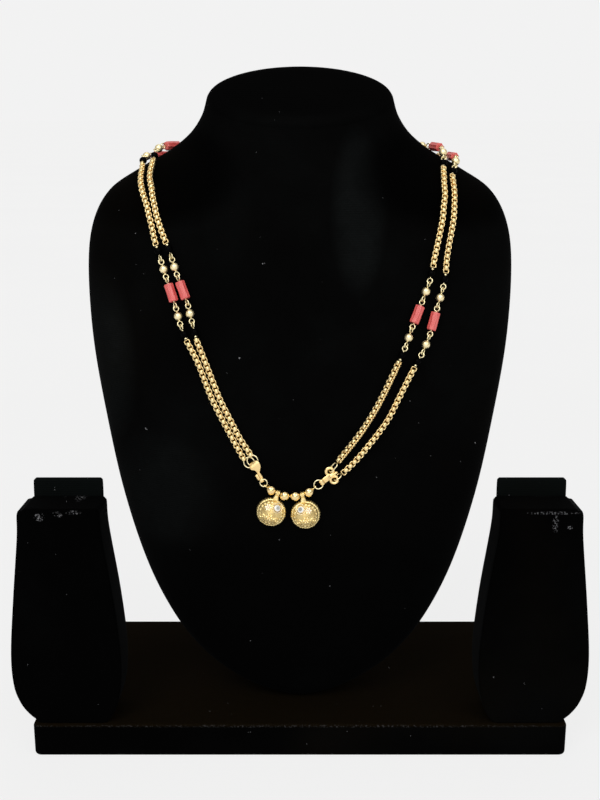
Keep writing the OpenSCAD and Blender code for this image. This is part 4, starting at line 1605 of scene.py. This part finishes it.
    def on_dome(self, spot: tuple[float, float], rise: float) -> Place:
        """Point over the dome in metres.

        Args:
            spot: Distances right of and above the bowl's middle.
            rise: Height over the dome.

        Returns:
            The point.
        """
        ball = self.ball
        way = np.array([*spot, math.sqrt(ball**2 - spot[0] ** 2 - spot[1] ** 2)]) * (1 + rise / ball)
        return tuple(float(v) * MM for v in self.bowl.out(way - [0, 0, ball - self.height]))

    def bail(self) -> list[Patch]:
        """Three rings of round wire side by side, which go round the pendant wire.

        Returns:
            The rings.
        """
        frame = self.frame
        rings = []
        way = circle(40, flat=0)
        for place in self.bail_places:
            path = frame.out(way * self.bail_radius + [place, 0, 0])
            rings.append(tube(path, frame.out(way) - frame.origin, round_outline(self.bail_wire, 10), closed=True))
        return rings

    def neck(self) -> Patch:
        """The fan-shaped neck that joins the bail to the bowl, narrower towards the bail.

        Returns:
            The patch.
        """
        bowl = self.bowl
        t = np.linspace(0, 1, 13)
        y = np.linspace(self.diameter / 2 - 0.7, self.bail_to_middle - 1.0, len(t))
        path = np.stack([np.zeros_like(t), y, np.full_like(t, self.neck_lift)], axis=1)
        size = np.stack([1 - 0.15 * t, 1 - 0.45 * t], axis=1)
        return tube(bowl.out(path), bowl.z, box_outline(*self.neck_half, 24, 0.7), size=size)


@dataclass
class PendantBeads:
    """The four polished balls on the wire between the hooks."""

    width: float = 4.2
    bore: float = 1.0
    runs: tuple[float, ...] = (2.85, 8.9, 13.3, 19.3)

    def build(self) -> list[bpy.types.Object]:
        """Each ball with its bore along the wire.

        Returns:
            The pieces.
        """
        wire = Strand(PENDANT_WIRE)
        pieces = []
        for k, run in enumerate(self.runs, 1):
            before, after = wire.place(run - 1), wire.place(run + 1)
            axes = Axes.along(before, after, wire.way_off(run))
            axes = axes.moved(0, 0, float(np.linalg.norm(after - before)) / 2)
            piece = make_piece(f"polished_ball_{k}", drilled_ball(self.width, self.bore, axes), BALL_GOLD)
            pieces.append(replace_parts(piece, f"pendant_bead_{k}"))
        return pieces


@dataclass
class Hooks:
    """The two hooks of bent strip, with their jump rings and links.

    A seat is a ring number, degrees round from the front and degrees turned in the velvet's plane. An eye is its
    middle's place and its groove, and a row of the plate is a place and half the plate's width there.
    """

    left_seat: tuple[float, float, float] = (6.63, -12.5, 34.0)
    right_seat: tuple[float, float, float] = (6.49, 7.0, -55.0)
    lift: float = 2.4
    eyes: tuple[tuple[float, float, float], ...] = ((-1.6, 3.75, 0.0), (2.25, 3.3, 0.26))
    eye_radius: float = 1.5
    eye_wire: float = 1.3
    eye_drop: float = 0.8
    ring_wire: float = 0.5
    sides: int = 20
    plate: tuple[tuple[float, float, float, float], ...] = (
        (0.2, 2.6, 0.9, 1.4), (0.35, 2.0, 1.25, 2.1), (0.5, 1.1, 1.35, 2.3), (0.55, 0.1, 1.15, 1.9),
        (0.4, -0.8, 0.75, 1.2), (0.1, -1.7, 0.4, 0.6),
    )

    def build(self) -> list[bpy.types.Object]:
        """The left hook of an eye, plate, bars and foot, and the right one of two thick eyes, a foot and bars.

        Returns:
            Both hooks, the jump rings and the links.
        """
        left, right = self.seat(*self.left_seat), self.seat(*self.right_seat)
        sides = {
            "left": [
                self.strip_eye(left, (-0.2, 1.6, 0.0), 0.95, 0.6, 1.2, 1.6),
                self.leaf(left),
                self.strap(left, (0.0, 0.2, 0.1), (-0.15, -4.9, 0.0), 1.15, 0.75, 0.2),
                self.strap(left, (-1.35, -2.2, 0.25), (-1.35, -4.9, 0.1), 1.15, 0.8, 0.1),
                self.strap(left, (-1.7, -4.65, 0.0), (0.1, -4.65, 0.0), 0.8, 0.8, 0.0),
                self.strip_eye(left, (-0.65, -5.4, 0.0), 0.6, 0.5, 1.3, 0.2),
            ],
            "right": [
                *(self.thick_eye(right, (x, y), groove) for x, y, groove in self.eyes),
                self.strip_eye(right, (0.0, -1.3, 0.0), 0.6, 0.5, 1.9, 0.25),
                self.strap(right, (0.0, -0.9, -0.1), (0.0, 3.0, -0.4), 2.3, 0.8, 0.25),
                self.strap(right, (0.35, 2.3, -0.5), (0.35, 6.3, -0.5), 0.9, 0.9, 0.0),
            ],
        }
        return [
            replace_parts(make_piece(f"bent_hook_{side}", Patch.joined(patches), HOOK_GOLD), f"hook_{side}")
            for side, patches in sides.items()
        ] + self.rings(left, right)

    def seat(self, ring_no: float, around: float, turn: float) -> Axes:
        """Frame of a hook above the velvet."""
        return Axes.on_velvet(skin(ring_no, around), outward(ring_no, around), turn).moved(0, 0, self.lift)

    def strip_eye(self, axes: Axes, centre: Place, inner: float, thick: float, width: float, flare: float) -> Patch:
        """Flat strip bent to a ring about X, wider on its front by a share of its width.

        Args:
            axes: The hook's frame.
            centre: The ring's middle.
            inner: Radius of its hole.
            thick: Thickness of the strip.
            width: Its width.
            flare: How much wider it is in front.

        Returns:
            The patch.
        """
        way = circle(48, flat=0)
        path = axes.out(way * (inner + thick / 2) + centre)
        across = 1 + flare * np.clip(way[:, 2], 0, 1) ** 2
        size = np.stack([np.ones(len(way)), across], axis=1)
        off = axes.out(way) - axes.origin
        return tube(path, off, box_outline(thick / 2, width / 2, self.sides), closed=True, size=size)

    def strap(self, axes: Axes, start: Place, end: Place, width: float, thick: float, bow: float) -> Patch:
        """Straight strip with round ends that bows off the velvet by half a sine.

        Args:
            axes: The hook's frame.
            start: Its one end.
            end: Its other end.
            width: Its width.
            thick: Its thickness.
            bow: How far its middle stands out.

        Returns:
            The patch.
        """
        t = np.linspace(0, 1, 25)
        length = float(np.linalg.norm(np.subtract(end, start)))
        path = start + t[:, None] * np.subtract(end, start)
        path[:, 2] += bow * np.sin(math.pi * t)
        edge = np.minimum(t, 1 - t) * length / (width * 0.3)
        share = np.sqrt(np.clip(1 - (1 - np.clip(edge, 0, 1)) ** 2, 0.04, 1))
        outline = box_outline(thick / 2, width / 2, self.sides)
        return tube(axes.out(path), axes.z, outline, size=np.stack([share, share], axis=1))

    def leaf(self, axes: Axes) -> Patch:
        """The wide plate in front of the left hook's eye, which tapers to its bar.

        Args:
            axes: The hook's frame.

        Returns:
            The patch.
        """
        rows = between(np.array(self.plate), np.linspace(0, len(self.plate) - 1, 41))
        size = np.stack([np.ones(len(rows)), rows[:, 3]], axis=1)
        return tube(axes.out(rows[:, :3]), axes.z, box_outline(0.25, 1.0, 24), size=size)

    def thick_eye(self, axes: Axes, spot: tuple[float, float], groove: float) -> Patch:
        """A ring of thick round wire.

        Args:
            axes: The hook's frame.
            spot: The ring's middle.
            groove: Depth of the groove where it stands for two turns, as a share of the wire.

        Returns:
            The patch.
        """
        path = axes.out(circle(56, flat=2) * self.eye_radius + [*spot, -self.eye_drop])
        share = 1 - groove * np.exp(-((np.mod(ring_of(24) + 0.3, math.pi) - math.pi / 2) / 0.28) ** 2)
        return tube(path, axes.z, round_outline(self.eye_wire, 24) * share[:, None], closed=True)

    def rings(self, left: Axes, right: Axes) -> list[bpy.types.Object]:
        """The two jump rings and the two links of the pendant wire, of round wire.

        Args:
            left: The left hook's frame.
            right: The right hook's frame.

        Returns:
            The pieces.
        """
        places = {
            "ring_left_outer": (left, (-1.1, 3.5, -0.35), 2.2), "ring_left_inner": (left, (0.7, 3.5, 0.35), 2.2),
            "link_left": (left, (-0.7, -6.82, 0.0), 1.5), "link_right": (right, (0.0, -3.05, 0.0), 1.85),
        }
        pieces = []
        for node, (axes, centre, radius) in places.items():
            path = axes.out(circle(72, flat=2) * radius + centre)
            patch = tube(path, axes.z, round_outline(self.ring_wire, 16), closed=True)
            pieces.append(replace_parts(make_piece(f"round_{node}", patch, PIN_GOLD), node))
        return pieces


# Room


# Soft lights: degrees round from the front to the right, degrees up, degrees wide, and strength
SOFTBOXES = (
    ("key", -32.0, 50.0, 30.0, 1.05), ("fill", 38.0, 42.0, 42.0, 0.75), ("top", 170.0, 72.0, 50.0, 0.45),
    ("low", -6.0, 14.0, 50.0, 0.8),
)


@dataclass
class Studio:
    """Camera, floor and light."""

    camera_place: Place = (0.0, -0.4685, 0.2660)
    pitch_down: float = 14.5
    focal_pixels: float = 1100.0
    picture_height: float = 800.0
    sensor: float = 36.0
    backdrop: float = 0.888
    walls: float = 0.41
    floor_half: float = 60.0
    table_light: float = 0.806

    def build(self) -> None:
        """Sets up all three; the lens is to the sensor as the focal length in pixels is to the picture's height."""
        data = bpy.data.cameras.new("camera")
        data.sensor_fit = "AUTO"
        data.sensor_width = self.sensor
        data.lens = self.sensor * self.focal_pixels / self.picture_height
        data.clip_start = 0.01
        camera = bpy.data.objects.new("camera", data)
        camera.location = self.camera_place
        camera.rotation_euler = (math.radians(90 - self.pitch_down), 0.0, 0.0)
        bpy.context.scene.collection.objects.link(camera)
        bpy.context.scene.camera = camera
        bpy.context.scene.view_settings.view_transform = "Standard"
        self.floor()
        for softbox in SOFTBOXES:
            self.softbox(*softbox)
        self.room()

    def room(self) -> None:
        """Pale backdrop behind everything, and dimmer walls for what the metal mirrors."""
        world = bpy.data.worlds.new("studio")
        world.use_nodes = True
        tree = world.node_tree
        walls, backdrop = tree.nodes["Background"], tree.nodes.new("ShaderNodeBackground")
        for light, colour, strength in (
            (walls, (1.0, 0.98, 0.95, 1.0), self.walls), (backdrop, (1.0, 1.0, 1.0, 1.0), self.backdrop),
        ):
            light.inputs["Color"].default_value = colour
            light.inputs["Strength"].default_value = strength
        seen = tree.nodes.new("ShaderNodeLightPath")
        choice = tree.nodes.new("ShaderNodeMixShader")
        tree.links.new(seen.outputs["Is Camera Ray"], choice.inputs["Fac"])
        tree.links.new(walls.outputs["Background"], choice.inputs[1])
        tree.links.new(backdrop.outputs["Background"], choice.inputs[2])
        tree.links.new(choice.outputs["Shader"], tree.nodes["World Output"].inputs["Surface"])
        bpy.context.scene.world = world

    def softbox(self, name: str, bearing: float, height: float, spread: float, power: float) -> None:
        """A far round soft light.

        Args:
            name: Its name.
            bearing: Degrees round from the front, to the right.
            height: Degrees above the level.
            spread: Degrees that it takes up in the sky.
            power: Its strength.
        """
        data = bpy.data.lights.new(name, "SUN")
        data.angle = math.radians(spread)
        data.energy = power
        lamp = bpy.data.objects.new(name, data)
        lamp.rotation_euler = (math.radians(90 - height), 0.0, math.radians(bearing))
        bpy.context.scene.collection.objects.link(lamp)

    def floor(self) -> None:
        """A wide pale floor, lit from below like a light table, so that it meets the backdrop unseen."""
        mesh = bpy.data.meshes.new("floor")
        half = self.floor_half
        mesh.from_pydata([(-half, -half, 0), (half, -half, 0), (half, half, 0), (-half, half, 0)], [], [(0, 1, 2, 3)])
        floor = bpy.data.objects.new("floor", mesh)
        bpy.context.scene.collection.objects.link(floor)
        g = Graph("pale_floor", {"Roughness": 1.0, "Specular IOR Level": 0.0, "Emission Strength": self.table_light})
        cloud = g.noise(3, 2)
        g.feed("Base Color", g.blend(cloud, (0.075, 0.075, 0.075), (0.085, 0.085, 0.085)))
        g.feed("Emission Color", g.blend(cloud, (0.99, 0.99, 0.99), (1.0, 1.0, 1.0)))
        mesh.materials.append(g.material)


PIN_NODES = (
    "end_link_right_inner", "end_link_right_outer", "eye_pins_left_outer", "eye_pins_left_inner",
    "eye_pins_right_inner", "eye_pins_right_outer",
)


def dress_solids(nodes: dict[str, bpy.types.Object], vatis: dict[str, Vati]) -> None:
    """Gives the part's own solids that stay in sight their finishes.

    Args:
        nodes: The part's nodes by name.
        vatis: Both bowls, for the places of their stones.
    """
    finishes: dict[str, Finish] = {"pendant_wire": GOLD, **dict.fromkeys(PIN_NODES, PIN_GOLD)}
    for name, vati in vatis.items():
        finishes[f"stone_{name}"] = WhiteStone(f"white_stone_{name}", heart=vati.heart)
    for name, finish in finishes.items():
        nodes[name].data.materials.clear()
        nodes[name].data.materials.append(finish.material())
        LOG.info("%s: %s", name, finish.name)


def main() -> None:
    """Builds the studio and every piece over the part, and gives the part's own solids their finishes."""
    logging.basicConfig(level=logging.INFO, format="%(message)s")
    Studio().build()
    pieces = [Bust().build(), BaseBoard().build(), *side_stands()]
    pieces += [*Strands().build(), *PendantBeads().build(), *Hooks().build()]
    vatis = {
        "left": Vati("vati_bowl_left", run=5.87, turn=-18.7, stone=(1.8, 3.0), mirror=1),
        "right": Vati("vati_bowl_right", run=16.3, turn=8.6, stone=(-1.5, 3.0), mirror=-1),
    }
    pieces += [vati.build(f"vati_{word}") for word, vati in vatis.items()]
    dress_solids(frame["nodes"], vatis)
    LOG.info("%d pieces over the part", len(pieces))


if __name__ == "__main__":
    main()
